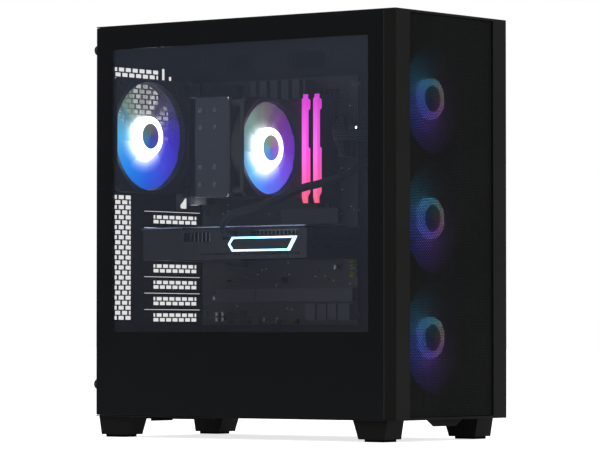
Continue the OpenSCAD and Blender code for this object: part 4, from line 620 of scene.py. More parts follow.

# ---- Processor cooler ----
# A tower of thin fins on four bent pipes, with a dark cover plate through which the pipe ends
# stand. The fins are mill aluminium; pipes and base are nickel plated copper, and the pipe tips a much darker
# nickel.
mill_aluminium = metal("mill_aluminium", "#5d626d", 0.4, 0.6, (1, 1, 0.05))
dress(mill_aluminium, "cooler_fins", "card_heatsink")
nickel_plate = metal("nickel_plate", "#b9bcc0", 0.22, 0.5)
dress(nickel_plate, "cooler_base", "processor")
black_nickel = metal("black_nickel", "#45474d", 0.22, 0.4)
cover_anodised = pebbled("cover_anodised", "#1b202e", pebble=0.4, depth=0.02, roughness=0.42, specular=0.35)

fins_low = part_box("cooler_fins")[0]
cover_low, cover_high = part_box("cooler_cover")
# The cut edges of the cover are diamond turned: a bright bare bevel round the dark anodising.
bright_bevel = metal("bright_bevel", "#b4bac6", 0.2, 0.4)


def rounded(low, high, radius, steps=5):
    """The outline of a rectangle with rounded corners, anticlockwise from the upper right."""
    outline = []
    for x, y, first in ((high[0] - radius, high[1] - radius, 0), (low[0] + radius, high[1] - radius, 90),
                        (low[0] + radius, low[1] + radius, 180), (high[0] - radius, low[1] + radius, 270)):
        outline += [(x + radius * math.cos(math.radians(first + 90 * k / steps)),
                     y + radius * math.sin(math.radians(first + 90 * k / steps))) for k in range(steps + 1)]
    return outline


def stacked(shape, sections, closed=True):
    """Joins equal outlines in the YZ plane; each section is (outline, X). Closed joins last to first."""
    loops = [[shape.verts.new((x, y, z)) for y, z in outline] for outline, x in sections]
    for first, second in zip(loops, loops[1:] + (loops[:1] if closed else [])):
        for i in range(len(first)):
            j = (i + 1) % len(first)
            shape.faces.new((first[i], first[j], second[j], second[i]))
    if not closed:
        shape.faces.new(loops[0])
        shape.faces.new(loops[-1])


def inset_box(low, high, inset):
    """The corners (Y, Z) of a box's side, moved in by so many mm."""
    return (low.y + inset * mm, low.z + inset * mm), (high.y - inset * mm, high.z - inset * mm)


plate = bmesh.new()
stacked(plate, [(rounded(*inset_box(cover_low, cover_high, inset), 3 * mm), cover_low.x + x * mm)
                for inset, x in ((0.6, 0), (0, 0.6), (0, 2), (0.4, 2.2))], closed=False)
near_x, low_y, low_z = [c / mm for c in cover_low]
far_x, high_y, high_z = [c / mm for c in cover_high]
lip = 0.8
for foot, head in ((low_z, low_z + lip), (high_z - lip, high_z)):
    add_block(plate, (near_x + 1.4, low_y + 8, foot), (far_x, high_y - 8, head), 0.2)
cover = part("cooler_cover_plate", plate, cover_anodised, bright_bevel)
for face in cover.data.polygons:
    slanted = 0.3 < abs(face.normal.x) < 0.95
    face.material_index = int(slanted and face.center.x < cover_low.x + 0.6 * mm)
# Two grooves across the cover, drawn as dark strips laid on its face: painted shade where the grooves are
# cut.
groove_z = cpu_z / mm
grooves = blocks("grooves", can_band,
                 *[((near_x - 0.06, low_y + 6.5, groove_z + z),
                    (near_x + 0.3, high_y - 6.5, groove_z + z + 0.9)) for z in (-9, 8.1)], edge=0.05)
installed(joined("cooler_cover_plate", [cover, grooves]), "case", "dark_aluminium", "cooler_cover")

pipe_tip = bmesh.new()
add_turned(pipe_tip, in_mm((0, 0), (3.15, 0), (3.15, 0.5), (2.6, 1.3), (1.3, 2), (0.5, 2.1), (0, 2)),
           steps=20)
pipe_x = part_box("cooler_base")[0].x + 0.9 * mm
pipe_rows = (20, 42)
pipe_columns = (-45, -24, 24, 45)
tip_spots = [(pipe_x, fins_low.y + y * mm, cpu_z + z * mm) for y in pipe_rows for z in pipe_columns]
tip = placed(part("tip", pipe_tip), axis="Y", degrees=-90)
installed(copies_at("pipe_tips", tip, tip_spots, black_nickel), "case", "nickel")

# ---- Graphics card ----
# A two-slot card: board, finned heatsink, dark moulded shroud and a satin steel backplate.
card_moulding = pebbled("card_moulding", "#181b21", pebble=0.6, depth=0.02, roughness=0.45, specular=0.25)
card_plate = pebbled("card_plate_coat", "#333842", pebble=0.6, depth=0.01, roughness=0.32, specular=0.6)
dress(card_moulding, "card_shroud")
dress(card_plate, "card_backplate")
dress(zinc_plate, "card_bracket")
# The backplate's long edge is bare where it was trimmed, and catches the light as a thin line. Its
# blue tint is painted light: the glow of the card's light pipe falling on it.
plate_low, plate_high = [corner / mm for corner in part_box("card_backplate")]
trimmed_edge = metal("trimmed_edge", "#8fa0c4", 0.25, 0.5, (1, 0.1, 1))
edge_line = blocks("backplate_edge", trimmed_edge,
                   ((plate_low.x - 0.1, plate_low.y + 3, plate_low.z + 0.9),
                    (plate_low.x + 0.6, plate_high.y - 2, plate_high.z)), edge=0.3)
installed(edge_line, "case", "card_plate")

# A frosted light pipe in the long edge of the shroud: a closed outline with a slanted bar in
# front and a point at the rear. It stands 1 mm proud and its glow falls on the shroud.
pipe_glow, tree, shader = new_finish("lit_card_outline", Base_Color=linear("#d8ecf6"), Roughness=0.4,
                                     Emission_Strength=7.0)
place = add(tree, "ShaderNodeTexCoord").outputs["Object"]
cloud = add(tree, "ShaderNodeTexNoise", {"Vector": place, "Scale": 60.0})
blues = ramp(tree, cloud.outputs["Fac"], [(0.3, "#70b8ff"), (0.7, "#8cd0ff")])
tree.links.new(blues, shader.inputs["Emission Color"])
light_low, light_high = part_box("card_light_frame")


def light_outline(inset):
    """The outline of the light pipe in the plane of the card's long edge, moved in by so many mm."""
    middle = (light_low.z + light_high.z) / 2
    step = inset * mm
    slant_y = light_low.y + 11 * mm + step * 1.9
    point_y = light_high.y - 6 * mm - step
    return [(light_low.y + step * 3.2, light_high.z - step), (slant_y, light_low.z + step),
            (point_y, light_low.z + step), (light_high.y - step * 1.2, middle),
            (point_y, light_high.z - step)]


pipe = bmesh.new()
stacked(pipe, [(light_outline(inset), x) for inset, x in
               ((0, light_high.x), (0, light_low.x + 0.3 * mm), (0.25, light_low.x), (1.75, light_low.x),
                (2, light_low.x + 0.3 * mm), (2, light_high.x))])
installed(part("light_pipe", pipe, pipe_glow), "case", "card_light", "card_light_frame")

# ---- Power supply ----
# A steel box with a pressed grille for its fan, under the basement cover.
supply_coat = pebbled("supply_coat", "#191a1d", pebble=0.9, depth=0.03, roughness=0.5, specular=0.2)
dress(supply_coat, "psu_case")
dress(moulded_abs, "psu_inlet", "psu_switch")

# ---- Fans ----
# Square fans with moulded frames. The front, rear and cooler rotors are frosted acrylic, lit
# from their hubs, and shine as one soft disc; the card's and the supply's are plain black.
fan_moulding = pebbled("fan_moulding", "#1b1d22", pebble=0.6, depth=0.02, roughness=0.48, specular=0.3)
dress(fan_moulding, "front_fan_frames", "rear_fan_frame", "cooler_fan_frame",
      "psu_rotor", "card_rotor_rear", "card_rotor_front")
joint_of = {joint["child"]: joint for joint in frame["joints"]}
hub_r = 24.5 * mm
cap_r = 15.8 * mm
glow_reach = 72 * mm
blade_count = 9
tip_inset = 4 * mm


def add_blade(shape, root, tip, depth, thick, spread, sweep, rows=9, columns=7):
    """Adds one swept and twisted blade. Its leading edge is at low Z; spread is the angle it covers."""
    front, back = [], []
    for i in range(rows + 1):
        t = i / rows
        radius = root + (tip - root) * t
        middle = sweep * t ** 1.4
        rise = depth * (0.32 - 0.27 * t)
        for j in range(columns + 1):
            s = j / columns
            angle = middle + spread * (s - 0.5)
            height = depth / 2 + rise * (s - 0.5) + 0.09 * depth * math.sin(math.pi * s)
            edge = thick * (0.35 + 0.65 * math.sin(math.pi * (0.08 + 0.84 * s)))
            x = radius * math.cos(angle)
            y = radius * math.sin(angle)
            for side, offset in ((front, -edge / 2), (back, edge / 2)):
                side.append(shape.verts.new((x, y, height + offset)))
    wide = columns + 1
    for i in range(rows):
        for j in range(columns):
            a = i * wide + j
            shape.faces.new([front[k] for k in (a, a + 1, a + wide + 1, a + wide)])
            shape.faces.new([back[k] for k in (a, a + wide, a + wide + 1, a + 1)])
    rim = ([(k, k + 1) for k in range(columns)]
           + [(k * wide + columns, (k + 1) * wide + columns) for k in range(rows)]
           + [(rows * wide + k + 1, rows * wide + k) for k in range(columns)]
           + [((k + 1) * wide, k * wide) for k in range(rows)])
    for a, b in rim:
        shape.faces.new([front[b], front[a], back[a], back[b]])


# Copies of the start mesh, evenly spaced about Z.
round_axis, given = new_tree("copies_round_axis", Count="Int", Finish="Material")
spots = add(round_axis, "GeometryNodeMeshLine", {"Count": given.outputs["Count"], "Offset": (0, 0, 0)})
index = add(round_axis, "GeometryNodeInputIndex").outputs[0]
share = add(round_axis, "ShaderNodeMath", {0: index, 1: given.outputs["Count"]}, operation="DIVIDE")
turn = add(round_axis, "ShaderNodeMath", {0: share.outputs[0], 1: 2 * math.pi}, operation="MULTIPLY")
facing = add(round_axis, "ShaderNodeCombineXYZ", {"Z": turn.outputs[0]})
copies = add(round_axis, "GeometryNodeInstanceOnPoints",
             {"Points": spots.outputs[0], "Instance": given.outputs["Geometry"],
              "Rotation": facing.outputs[0]})
close_tree(round_axis, copies.outputs[0], given)


def lit_acrylic(name, centre, hues, whites, levels, cover, shift=(0, 0)):
    """Frosted acrylic lit by colour LEDs under the hub.

    hues go anticlockwise from the left as seen from the front; cover is how dense the acrylic
    is in the same eight directions. whites and levels are how far the light is bleached and how
    strong it is, by radius in mm; the halo may lie a little to one side of the axis.
    """
    material, tree, shader = new_finish(name, Base_Color=linear("#20242c"), Roughness=0.45,
                                        Specular_IOR_Level=0.3)
    place = add(tree, "ShaderNodeTexCoord").outputs["Object"]
    axes = add(tree, "ShaderNodeSeparateXYZ", {0: place})
    plane = add(tree, "ShaderNodeCombineXYZ", {"X": axes.outputs["X"], "Y": axes.outputs["Z"]})
    from_axis = add(tree, "ShaderNodeVectorMath", {0: plane.outputs[0], 1: (centre.x, centre.z, 0)},
                    operation="SUBTRACT").outputs[0]
    around = add(tree, "ShaderNodeTexGradient", {"Vector": from_axis}, gradient_type="RADIAL").outputs["Fac"]
    eighths = [k / 8 for k in range(9)]
    colour = ramp(tree, around, list(zip(eighths, hues + hues[:1])))
    from_halo = add(tree, "ShaderNodeVectorMath", {0: from_axis, 1: (shift[0] * mm, shift[1] * mm, 0)},
                    operation="SUBTRACT").outputs[0]
    distance = add(tree, "ShaderNodeVectorMath", {0: from_halo}, operation="LENGTH").outputs["Value"]
    outward = add(tree, "ShaderNodeMapRange", {"Value": distance, "From Max": glow_reach}).outputs[0]
    pale = ramp(tree, outward, [(radius * mm / glow_reach, value) for radius, value in whites])
    tint = add(tree, "ShaderNodeMix", {"Factor": pale, 6: colour}, data_type="RGBA")
    tint.inputs[7].default_value = linear("#f4fbff")
    tree.links.new(tint.outputs[2], shader.inputs["Emission Color"])
    most = max(value for _, value in levels)
    strength = ramp(tree, outward, [(radius * mm / glow_reach, value / most) for radius, value in levels])
    level = add(tree, "ShaderNodeMath", {0: strength, 1: most}, operation="MULTIPLY")
    tree.links.new(level.outputs[0], shader.inputs["Emission Strength"])
    tree.links.new(ramp(tree, around, list(zip(eighths, cover + cover[:1]))), shader.inputs["Alpha"])
    return material


def lit_rotor(body, side, hues, hub_hues, cover, power, rim, ring, cap, pale):
    """Builds one lit rotor: a hub cup with its light ring, and nine wide swept blades.

    power, ring and cap are the strengths of the blades, of the ring and of the cap inside it;
    rim is the share of it left at the blade tips, and pale is how far the ring is bleached.
    """
    centre = Vector(joint_of[body]["pos_m"])
    low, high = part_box(body)
    depth = high.y - low.y
    tip = side / 2 - tip_inset
    bleached = ((0, 1), (24, 0.7), (28, 0.36), (34, 0.12), (42, 0), (72, 0))
    halo = [(radius, value * pale) for radius, value in bleached]
    # The light falls off from the hub to the tips, through the blades.
    fall = [(0, 1 + pale), (24, 1 + pale), (28, 1 + pale * 0.35), (38, 0.95 * rim ** 0.2),
            (50, 0.98 * rim ** 0.4), (66, rim), (72, rim)]
    acrylic = lit_acrylic("blades_" + body, centre, hues, halo,
                          [(radius, value * power) for radius, value in fall], cover, (-4, -5))
    cap_edge = 15.2
    ring_edge = 16.2
    hub_pale = [(0, 0.04 * pale), (cap_edge, 0.04 * pale), (ring_edge, pale), (25, pale), (72, pale)]
    hub_level = [(0, cap), (cap_edge, cap * 1.2), (ring_edge, ring), (25, ring), (72, ring)]
    hub_glow = lit_acrylic("hub_" + body, centre, hub_hues, hub_pale, hub_level, [1.0] * 8)
    blade = bmesh.new()
    add_blade(blade, hub_r - 0.6 * mm, tip, depth, thick=1.3 * mm, spread=math.radians(68),
              sweep=math.radians(16))
    blades = grown("blades", round_axis, {"Count": blade_count, "Finish": acrylic}, part("blades", blade))
    cup = bmesh.new()
    inner_r = hub_r - 1.8 * mm
    add_turned(cup, [(0, 0.6 * mm), (cap_r * 0.9, 0.2 * mm), (cap_r - 0.3 * mm, 0.7 * mm),
                     (cap_r + 0.5 * mm, 0.2 * mm), (hub_r * 0.92, 0), (hub_r * 0.985, 0.9 * mm),
                     (hub_r, 2.6 * mm), (hub_r, depth), (inner_r, depth), (inner_r, 3.4 * mm),
                     (hub_r - 5 * mm, 2 * mm), (0, 2 * mm)])
    made = joined(body + "_lit", [blades, part("cup", cup, hub_glow)])
    installed(placed(made, (centre.x, low.y, centre.z), "X", -90), body, "fan_blade", body)


case_side = rear_fan_high.x - rear_fan_low.x
cooler_low, cooler_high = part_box("cooler_fan_frame")
lit_rotor("rear_rotor", case_side,
          ["#48aadf", "#0a82e6", "#145adc", "#3c3cd2", "#3c28be", "#504b6e", "#46414b", "#647d6e"],
          ["#3c96be", "#288cdc", "#1e50e6", "#3c46dc", "#5a3cbe", "#6e5a96", "#7d7d6e", "#64877d"],
          [0.8, 0.9, 0.9, 0.85, 0.6, 0.3, 0.2, 0.4], power=1.7, rim=0.55, ring=4, cap=0.6, pale=1)
lit_rotor("cooler_rotor", cooler_high.z - cooler_low.z,
          ["#5d899e", "#50b4fa", "#5078fa", "#6e50eb", "#6e28be", "#6e3091", "#6e6469", "#78968c"],
          ["#64a0b4", "#508cdc", "#466edc", "#785adc", "#9650c8", "#966e96", "#82826e", "#6e8c82"],
          [0.9, 0.95, 0.95, 0.9, 0.85, 0.7, 0.6, 0.75], power=1.6, rim=0.55, ring=5, cap=1.1, pale=1)
for body in ("front_rotor_top", "front_rotor_middle", "front_rotor_bottom"):
    lit_rotor(body, case_side,
              ["#2450b8", "#3440bc", "#6034a8", "#52307c", "#2e2450", "#302c3c", "#1a5878", "#2088b0"],
              ["#5084ff", "#5c6cff", "#9c64ff", "#c078d8", "#c8a0b4", "#98b4b8", "#50bcd8", "#48b0f4"],
              [0.9] * 8, power=2.3, rim=0.07, ring=2.5, cap=0.4, pale=0.04)


# ---- Cables ----
# Two looms of sleeved wires: twelve to the board's main socket and eight to the card. Each runs
# from the supply, up behind the tray and out beside the board. Braid of black nylon, drawn
# coarser than real braid so that it holds at a distance.
braid, tree, shader = new_finish("nylon_braid", Roughness=0.62, Specular_IOR_Level=0.25)
wound = add(tree, "ShaderNodeUVMap")
crossed = []
braid_run = 0.0022
for slant in (braid_run, -braid_run):
    laid = add(tree, "ShaderNodeMapping", {"Vector": wound.outputs[0], "Scale": (2, 1 / slant, 1)})
    axes = add(tree, "ShaderNodeSeparateXYZ", {0: laid.outputs[0]})
    both = add(tree, "ShaderNodeMath", {0: axes.outputs["X"], 1: axes.outputs["Y"]}, operation="ADD")
    crossed.append(add(tree, "ShaderNodeMath", {0: both.outputs[0], 1: 0.5}, operation="PINGPONG").outputs[0])
weave = add(tree, "ShaderNodeMath", {0: crossed[0], 1: crossed[1]}, operation="MAXIMUM")
black_and_grey = ramp(tree, weave.outputs[0], [(0.18, "#0b0c0e"), (0.5, "#30333a")])
tree.links.new(black_and_grey, shader.inputs["Base Color"])
relief = add(tree, "ShaderNodeBump", {"Height": weave.outputs[0], "Distance": 0.3 * mm, "Strength": 0.8})
tree.links.new(relief.outputs[0], shader.inputs["Normal"])
plug_nylon = pebbled("plug_nylon", "#0e0f11", pebble=0.4, depth=0.01, roughness=0.4, specular=0.3)


def smooth_route(points, steps=6):
    """Points along a smooth curve through the given ones, as part.scad draws it."""
    made = []
    for i in range(len(points) - 1):
        a, b, c, d = (points[k] for k in (max(i - 1, 0), i, i + 1, min(i + 2, len(points) - 1)))
        for k in range(steps):
            t = k / steps
            made.append(0.5 * (2 * b + (c - a) * t + (2 * a - 5 * b + 4 * c - d) * t ** 2
                               + (3 * b - a - 3 * c + d) * t ** 3))
    return made + [points[-1]]


def route_frames(line, start):
    """Direction, side and up at each point of a line, turned no more than the line turns."""
    frames = []
    side = start
    for i, _ in enumerate(line):
        along = (line[min(i + 1, len(line) - 1)] - line[max(i - 1, 0)]).normalized()
        side = (side - along * side.dot(along)).normalized()
        frames.append((along, side, along.cross(side)))
    return frames


def add_strand(shape, uv, line, radius, sides=8):
    """Adds a round strand along a line, unrolled for the braid: turns across, millimetres along."""
    frames = route_frames(line, Vector((0.3, 0.2, 1)))
    rings = []
    for spot, (_, side, up) in zip(line, frames):
        rings.append([shape.verts.new(spot + (side * math.cos(a) + up * math.sin(a)) * radius)
                      for a in (2 * math.pi * k / sides for k in range(sides))])
    run = 0.0
    for i in range(len(line) - 1):
        step = (line[i + 1] - line[i]).length
        for k in range(sides):
            j = (k + 1) % sides
            face = shape.faces.new((rings[i][k], rings[i][j], rings[i + 1][j], rings[i + 1][k]))
            corners = ((k, run), (k + 1, run), (k + 1, run + step), (k, run + step))
            for loop, (u, v) in zip(face.loops, corners):
                loop[uv].uv = (u / sides, v)
        run += step
    shape.faces.new(rings[0][::-1])
    shape.faces.new(rings[-1])


def loom(name, points, start, offsets, ends, radius):
    """Strands side by side along a route, which part again to their places in the plug."""
    parts_from = 0.84
    parts_over = 0.16
    line = smooth_route([Vector(p) * mm for p in points])
    frames = route_frames(line, Vector(start))
    shape = bmesh.new()
    uv = shape.loops.layers.uv.new("unrolled")
    for (across, up_by), end in zip(offsets, ends):
        strand = []
        for i, (spot, (_, side, up)) in enumerate(zip(line, frames)):
            t = min(1, max(0, (i / (len(line) - 1) - parts_from) / parts_over))
            parted = t * t * (3 - 2 * t)
            bundled = (side * across + up * up_by) * mm
            strand.append(spot + bundled * (1 - parted) + Vector(end) * mm * parted)
        add_strand(shape, uv, strand, radius * mm)
    return part(name, shape, braid)


tray_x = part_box("motherboard_tray")[0].x / mm
behind_x = tray_x + 11
board_x = board_low.x / mm
board_y0 = board_low.y / mm
board_z0 = board_low.z / mm
supply_y0 = supply_low.y / mm
supply_z0 = supply_low.z / mm
supply_plug_x = supply_high.x / mm - 38
main_z = plug_z / mm
card_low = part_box("card_shroud")[0] / mm
card_plug_y = (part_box("card_rotor_front")[0].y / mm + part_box("card_rotor_rear")[1].y / mm) / 2 - 32
card_plug_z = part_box("card_backplate")[0].z / mm - 6.9
# Both routes in mm, from landmarks of the supply, the tray, the board and the card: out of the
# supply, up behind the tray, through its opening in front of the board and on to the socket.
card_route = [
    (supply_plug_x, supply_y0 - 1, supply_z0 + 40), (supply_plug_x + 6, supply_y0 - 16, supply_z0 + 41),
    (tray_x - 8, supply_y0 - 32, supply_z0 + 44), (behind_x, supply_y0 - 50, supply_z0 + 62),
    (behind_x, board_y0 + 38, board_z0 + 30), (behind_x, board_y0 - 1, board_z0 + 100),
    (behind_x, board_y0 - 19, board_z0 + 154), (tray_x + 1, board_y0 - 26, board_z0 + 188),
    (board_x - 12, board_y0 - 21.5, board_z0 + 194), (board_x - 42, board_y0 - 9.5, board_z0 + 179.5),
    (board_x - 64, board_y0 + 8, board_z0 + 170.5), (board_x - 82, board_y0 + 23, board_z0 + 164.5),
    (board_x - 102, board_y0 + 34, board_z0 + 154), (board_x - 122, board_y0 + 47.5, board_z0 + 145),
    (board_x - 137, board_y0 + 64.5, board_z0 + 137.5), (card_low.x - 24, card_plug_y - 22, board_z0 + 132.5),
    (card_low.x - 27, card_plug_y - 14, board_z0 + 125), (card_low.x - 25, card_plug_y - 8, card_plug_z + 7),
    (card_low.x - 17, card_plug_y - 2.5, card_plug_z + 1), (card_low.x - 6, card_plug_y, card_plug_z)]
wire_step = 2.9
wire_r = 1.45
card_pins = [(c - 1.5, r - 0.5) for c in range(4) for r in range(2)]
card_strands = loom("strands", card_route, (0, 0, 1), [(c * wire_step, r * wire_step) for c, r in card_pins],
                    [(0, c * 3.9, r * 3.2) for c, r in card_pins], wire_r)
# The plug: its body, the latch on top of it, and a sleeve round each wire.
card_body = ((card_low.x - 6.5, card_plug_y - 8.6, card_plug_z - 3.9),
             (card_low.x + 9.4, card_plug_y + 8.6, card_plug_z + 3.9))
card_latch = ((card_low.x - 5, card_plug_y - 2.6, card_plug_z + 3.4),
              (card_low.x + 3, card_plug_y + 2.6, card_plug_z + 4.6))
card_sleeves = [((card_low.x - 8, card_plug_y + c * 3.9 - 1.75, card_plug_z + r * 3.6 - 1.7),
                 (card_low.x - 5, card_plug_y + c * 3.9 + 1.75, card_plug_z + r * 3.6 + 1.7))
                for c, r in card_pins]
card_plug = blocks("plug", plug_nylon, card_body, card_latch, *card_sleeves, edge=0.35)
card_loom = joined("card_loom", [card_strands, card_plug])
installed(card_loom, "case", "cable_sleeve", "card_cable")

board_route = [
    (supply_plug_x - 16, supply_y0 - 1, supply_z0 + 28), (supply_plug_x - 6, supply_y0 - 22, supply_z0 + 28),
    (tray_x - 14, supply_y0 - 44, supply_z0 + 30), (behind_x, supply_y0 - 66, supply_z0 + 58),
    (behind_x, board_y0 + 13, board_z0 + 40), (behind_x, board_y0 - 31, board_z0 + 126),
    (behind_x, board_y0 - 36, main_z - 26), (tray_x + 2, board_y0 - 31, main_z),
    (board_x - 16, board_y0 - 22, main_z), (board_x - 32, board_y0 - 12, main_z),
    (board_x - 40, board_y0 + 1, main_z), (board_x - 33, board_y0 + 8, main_z),
    (board_x - 21, board_y0 + 7, main_z)]
main_step = 4.1
board_strands = loom("strands", board_route, (0, 1, 0),
                     [((c - 1) * wire_step, (r - 1.5) * wire_step) for r in range(4) for c in range(3)],
                     [(0, 0, (5.5 - k) * main_step) for k in range(12)], wire_r)
main_body = ((board_x - 24, board_y0 + 2.6, main_z - 24.9), (board_x - 12, board_y0 + 11.4, main_z + 24.9))
main_latch = ((board_x - 20, board_y0 + 1.2, main_z - 4), (board_x - 11, board_y0 + 2.8, main_z + 4))
main_sleeves = [((board_x - 26, board_y0 + 7 - 1.9, main_z + (k - 5.5) * main_step - 1.8),
                 (board_x - 23, board_y0 + 7 + 1.9, main_z + (k - 5.5) * main_step + 1.8)) for k in range(12)]
board_plug = blocks("plug", plug_nylon, main_body, main_latch, *main_sleeves, edge=0.35)
board_loom = joined("board_loom", [board_strands, board_plug])
installed(board_loom, "case", "cable_sleeve", "board_cable")

# ---- Glass side ----
# One tempered pane. Its clear part is very lightly smoked and lays a veil over what stands behind it;
# the veil's colour is painted light, bluish for the glow of the fans and lighter towards the top. A wide
# opaque border is fired onto the glass all round.
glass_low, glass_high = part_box("window_glass")
smoked_glass, tree, shader = new_finish("smoked_glass", Alpha=0.145, Specular_IOR_Level=0.3)
place = add(tree, "ShaderNodeTexCoord").outputs["Object"]
height = add(tree, "ShaderNodeSeparateXYZ", {0: place}).outputs["Z"]
upward = add(tree, "ShaderNodeMapRange",
             {"Value": height, "From Min": glass_low.z, "From Max": glass_high.z})
# Painted light: the veil's colour is bluish and grows lighter towards the top.
painted_glow_veil = ramp(tree, upward.outputs[0], [(0.2, "#353c4a"), (0.9, "#4b5468")])
tree.links.new(painted_glow_veil, shader.inputs["Base Color"])
wiping = add(tree, "ShaderNodeTexNoise", {"Vector": place, "Scale": 9.0, "Detail": 4.0})
wiped = add(tree, "ShaderNodeMapRange", {"Value": wiping.outputs["Fac"], "To Min": 0.03, "To Max": 0.12})
tree.links.new(wiped.outputs[0], shader.inputs["Roughness"])
# Black enamel seen through the glass: deep and even, with the gloss of the glass over it.
fired_enamel = pebbled("fired_enamel", "#0a0b0d", pebble=0.3, depth=0.001, roughness=0.15, specular=0.05)
# The ground edge of the pane: satin, with the green-black of thick glass.
ground_edge = pebbled("ground_edge", "#121817", pebble=0.2, depth=0.01, roughness=0.4, specular=0.3)

open_low = Vector((glass_low.y + 22.9 * mm, glass_low.z + 100.5 * mm))
open_high = Vector((glass_high.y - 26 * mm, glass_high.z - 27.5 * mm))
opening = rounded(open_low, open_high, 2.5 * mm)
outer = rounded(*inset_box(glass_low, glass_high, 0), 1.5 * mm)
eased = rounded(*inset_box(glass_low, glass_high, 0.5), 1 * mm)
border = bmesh.new()
stacked(border, [(outer, glass_low.x + 0.5 * mm), (eased, glass_low.x), (opening, glass_low.x),
                 (opening, glass_high.x), (eased, glass_high.x), (outer, glass_high.x - 0.5 * mm)])
glass_border = part("glass_border", border, fired_enamel, ground_edge)
for face in glass_border.data.polygons:
    middle = face.center
    to_edge = min(middle.y - glass_low.y, glass_high.y - middle.y,
                  middle.z - glass_low.z, glass_high.z - middle.z)
    face.material_index = int(to_edge < 1 * mm)
clear = bmesh.new()
add_prism(clear, opening, 0, glass_high.x - glass_low.x)
pane = part("clear_pane", clear, smoked_glass)
pane.data.transform(Matrix(((0, 0, 1, glass_low.x), (1, 0, 0, 0), (0, 1, 0, 0), (0, 0, 0, 1))))
installed(pane, "window", "side_glass", "window_glass")
installed(glass_border, "window", "side_glass")


# ---- Side screws ----
# Two thumbscrews behind each side, which come away with it. They are turned from steel bar with
# a straight knurl, and blackened by oxide.
black_oxide = metal("black_oxide", "#1c1c1e", 0.38, 0.4)


def thumbscrew():
    """A knurled head on its collar and shank, towards +Z from the panel's rear face."""
    shape = bmesh.new()
    flutes = 30
    groove = 0.35

    def ring(radius, height, depth):
        """A ring of points; every second one is set in by the depth of the knurl."""
        points = []
        for k in range(2 * flutes):
            reach = (radius - depth * (k % 2)) * mm
            angle = math.pi * k / flutes
            points.append(shape.verts.new((reach * math.cos(angle), reach * math.sin(angle), height * mm)))
        return points

    head = ((5.4, 1.5), (5.95, 2.1), (5.95, 7.4), (5.5, 8))
    levels = [ring(radius, height, groove) for radius, height in head]
    well = [ring(radius, height, 0) for radius, height in ((4.2, 8), (3.9, 5.2))]
    for first, second in zip(levels + well, levels[1:] + well):
        for k in range(2 * flutes):
            j = (k + 1) % (2 * flutes)
            shape.faces.new((first[k], first[j], second[j], second[k]))
    shape.faces.new(levels[0][::-1])
    shape.faces.new(well[-1])
    shank = in_mm((0, -7), (1.2, -7), (1.6, -6.4), (1.6, 0), (3.4, 0), (3.4, 1.8), (0, 1.8))
    add_turned(shape, shank, steps=24)
    add_turned(shape, in_mm((0, 5), (2.3, 5), (2.4, 5.8), (2, 6.4), (0, 6.4)), steps=20)
    return part("thumbscrew", shape)


side_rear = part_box("window_frame")[1].y
head_r = 6 * mm
for body, node in (("window", "window_thumbscrews"), ("right_side", "right_thumbscrews")):
    low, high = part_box(node)
    spots = [((low.x + high.x) / 2, side_rear, z) for z in (low.z + head_r, high.z - head_r)]
    installed(copies_at(body + "_screws", placed(thumbscrew(), axis="X", degrees=-90), spots, black_oxide),
              body, "thumbscrew_black", node)


# ---- Dust filters ----
# Frames of moulded plastic with a woven nylon gauze. Threads as close as they would be on such a
# filter are too fine to show, so they are drawn 1.6 mm apart.
gauze_nylon = pebbled("gauze_nylon", "#0d0d0e", pebble=0.3, depth=0.01, roughness=0.6, specular=0.15)
dress(moulded_abs, "top_filter", "psu_filter")
gauze_step = 1.6 * mm
thread = 0.28 * mm
thread_lift = 0.15 * mm


def threads(first, last, rim):
    """The places of the threads across a frame, inside a rim of that width."""
    count = int((last - first - 2 * rim) / gauze_step) + 1
    return [first + rim + gauze_step * k for k in range(count)]


for body, level, inset in (("top_filter", 0.5, 7), ("psu_filter", 1.4, 5)):
    low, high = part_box(body)
    middle = high.z - level * mm
    gauze = bmesh.new()
    along_y = threads(low.x, high.x, inset * mm)
    along_x = threads(low.y, high.y, inset * mm)
    for x in along_y:
        add_prism(gauze, [(x - thread, along_x[0]), (x + thread, along_x[0]), (x + thread, along_x[-1]),
                          (x - thread, along_x[-1])], middle, middle + thread_lift)
    for y in along_x:
        add_prism(gauze, [(along_y[0], y - thread), (along_y[-1], y - thread), (along_y[-1], y + thread),
                          (along_y[0], y + thread)], middle - thread_lift, middle)
    installed(part(body + "_gauze", gauze, gauze_nylon), body, "case_plastic")

# ---- Front cover ----
# A moulded ABS frame clipped to the chassis, with a fine diamond mesh of powder-coated steel.
button_cap = pebbled("button_cap", "#1a1a1c", pebble=0.4, depth=0.01, roughness=0.35, specular=0.3)
dress(moulded_abs, "front_cover", "cover_clips", "top_ports")
dress(button_cap, "power_button")

# Tiles of the start mesh in a plane, welded where they meet.
tiled, given = new_tree("tiled_sheet", Columns="Int", Rows="Int", Pitch="Float", Finish="Material")


def span(count_name):
    """The distance between the first and the last tile of a row."""
    gaps = add(tiled, "ShaderNodeMath", {0: given.outputs[count_name], 1: 1.0}, operation="SUBTRACT")
    length = add(tiled, "ShaderNodeMath",
                 {0: gaps.outputs[0], 1: given.outputs["Pitch"]}, operation="MULTIPLY")
    return length.outputs[0]


grid = add(tiled, "GeometryNodeMeshGrid",
           {"Size X": span("Columns"), "Size Y": span("Rows"),
            "Vertices X": given.outputs["Columns"], "Vertices Y": given.outputs["Rows"]})
copies = add(tiled, "GeometryNodeInstanceOnPoints",
             {"Points": grid.outputs[0], "Instance": given.outputs["Geometry"]})
real = add(tiled, "GeometryNodeRealizeInstances", {"Geometry": copies.outputs[0]})
welded = add(tiled, "GeometryNodeMergeByDistance", {"Geometry": real.outputs[0], "Distance": 0.00002})
close_tree(tiled, welded.outputs[0], given)


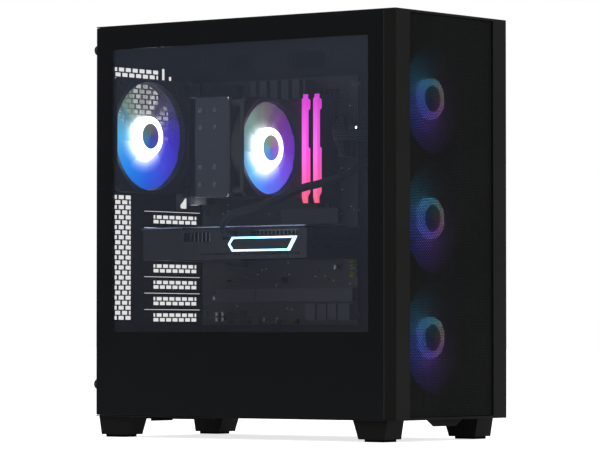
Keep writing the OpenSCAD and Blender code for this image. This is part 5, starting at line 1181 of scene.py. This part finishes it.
def diamond_tile(pitch, bar, thick):
    """One tile of a diamond mesh in the XY plane: bars along both diagonals, open on its four sides."""
    tile = bmesh.new()
    c, s = pitch / 2, bar / math.sqrt(2)
    levels = {}
    for z in (0, thick):
        spot = {"n": (0, s), "e": (s, 0), "s": (0, -s), "w": (-s, 0)}
        for name, (x, y) in spot.items():
            levels[name, z] = tile.verts.new((x, y, z))
        for qx, qy in ((1, 1), (-1, 1), (-1, -1), (1, -1)):
            levels["corner", qx, qy, z] = tile.verts.new((qx * c, qy * c, z))
            levels["on_x", qx, qy, z] = tile.verts.new((qx * (c - s), qy * c, z))
            levels["on_y", qx, qy, z] = tile.verts.new((qx * c, qy * (c - s), z))
    quarters = ((1, 1, "e", "n"), (-1, 1, "w", "n"), (-1, -1, "w", "s"), (1, -1, "e", "s"))
    for z in (0, thick):
        tile.faces.new([levels[k, z] for k in "nesw"])
        for qx, qy, x_side, y_side in quarters:
            on_x = levels["on_x", qx, qy, z]
            on_y = levels["on_y", qx, qy, z]
            tile.faces.new([levels[x_side, z], on_y, on_x, levels[y_side, z]])
            tile.faces.new([on_y, levels["corner", qx, qy, z], on_x])
    for qx, qy, x_side, y_side in quarters:
        for near, far in ((x_side, "on_y"), (y_side, "on_x")):
            tile.faces.new([levels[near, 0], levels[far, qx, qy, 0],
                            levels[far, qx, qy, thick], levels[near, thick]])
    return tile


mesh_coat = pebbled("mesh_powder_coat", "#090a0a", pebble=0.8, depth=0.02, roughness=0.55, specular=0.05)
mesh_low, mesh_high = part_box("front_mesh")
pitch = 3.6 * mm
bar_width = 1.1 * mm
sheet = 0.8 * mm
columns = math.floor((mesh_high.x - mesh_low.x) / pitch)
rows = math.floor((mesh_high.z - mesh_low.z) / pitch)
upper_rows = rows // 2
bottom = (mesh_low.z + mesh_high.z) / 2 - rows * pitch / 2
lower_rows = rows - upper_rows
for name, first, count in (("front_mesh_lower", 0, lower_rows), ("front_mesh_upper", lower_rows, upper_rows)):
    tile = part("tile", diamond_tile(pitch, bar_width, sheet))
    half = grown(name, tiled, {"Columns": columns, "Rows": count, "Pitch": pitch, "Finish": mesh_coat}, tile)
    placed(half, (0, mesh_low.y + 0.9 * mm, bottom + (first + count / 2) * pitch), "X", 90)
    installed(half, "front", "mesh_steel", *(["front_mesh"] if first == 0 else []))
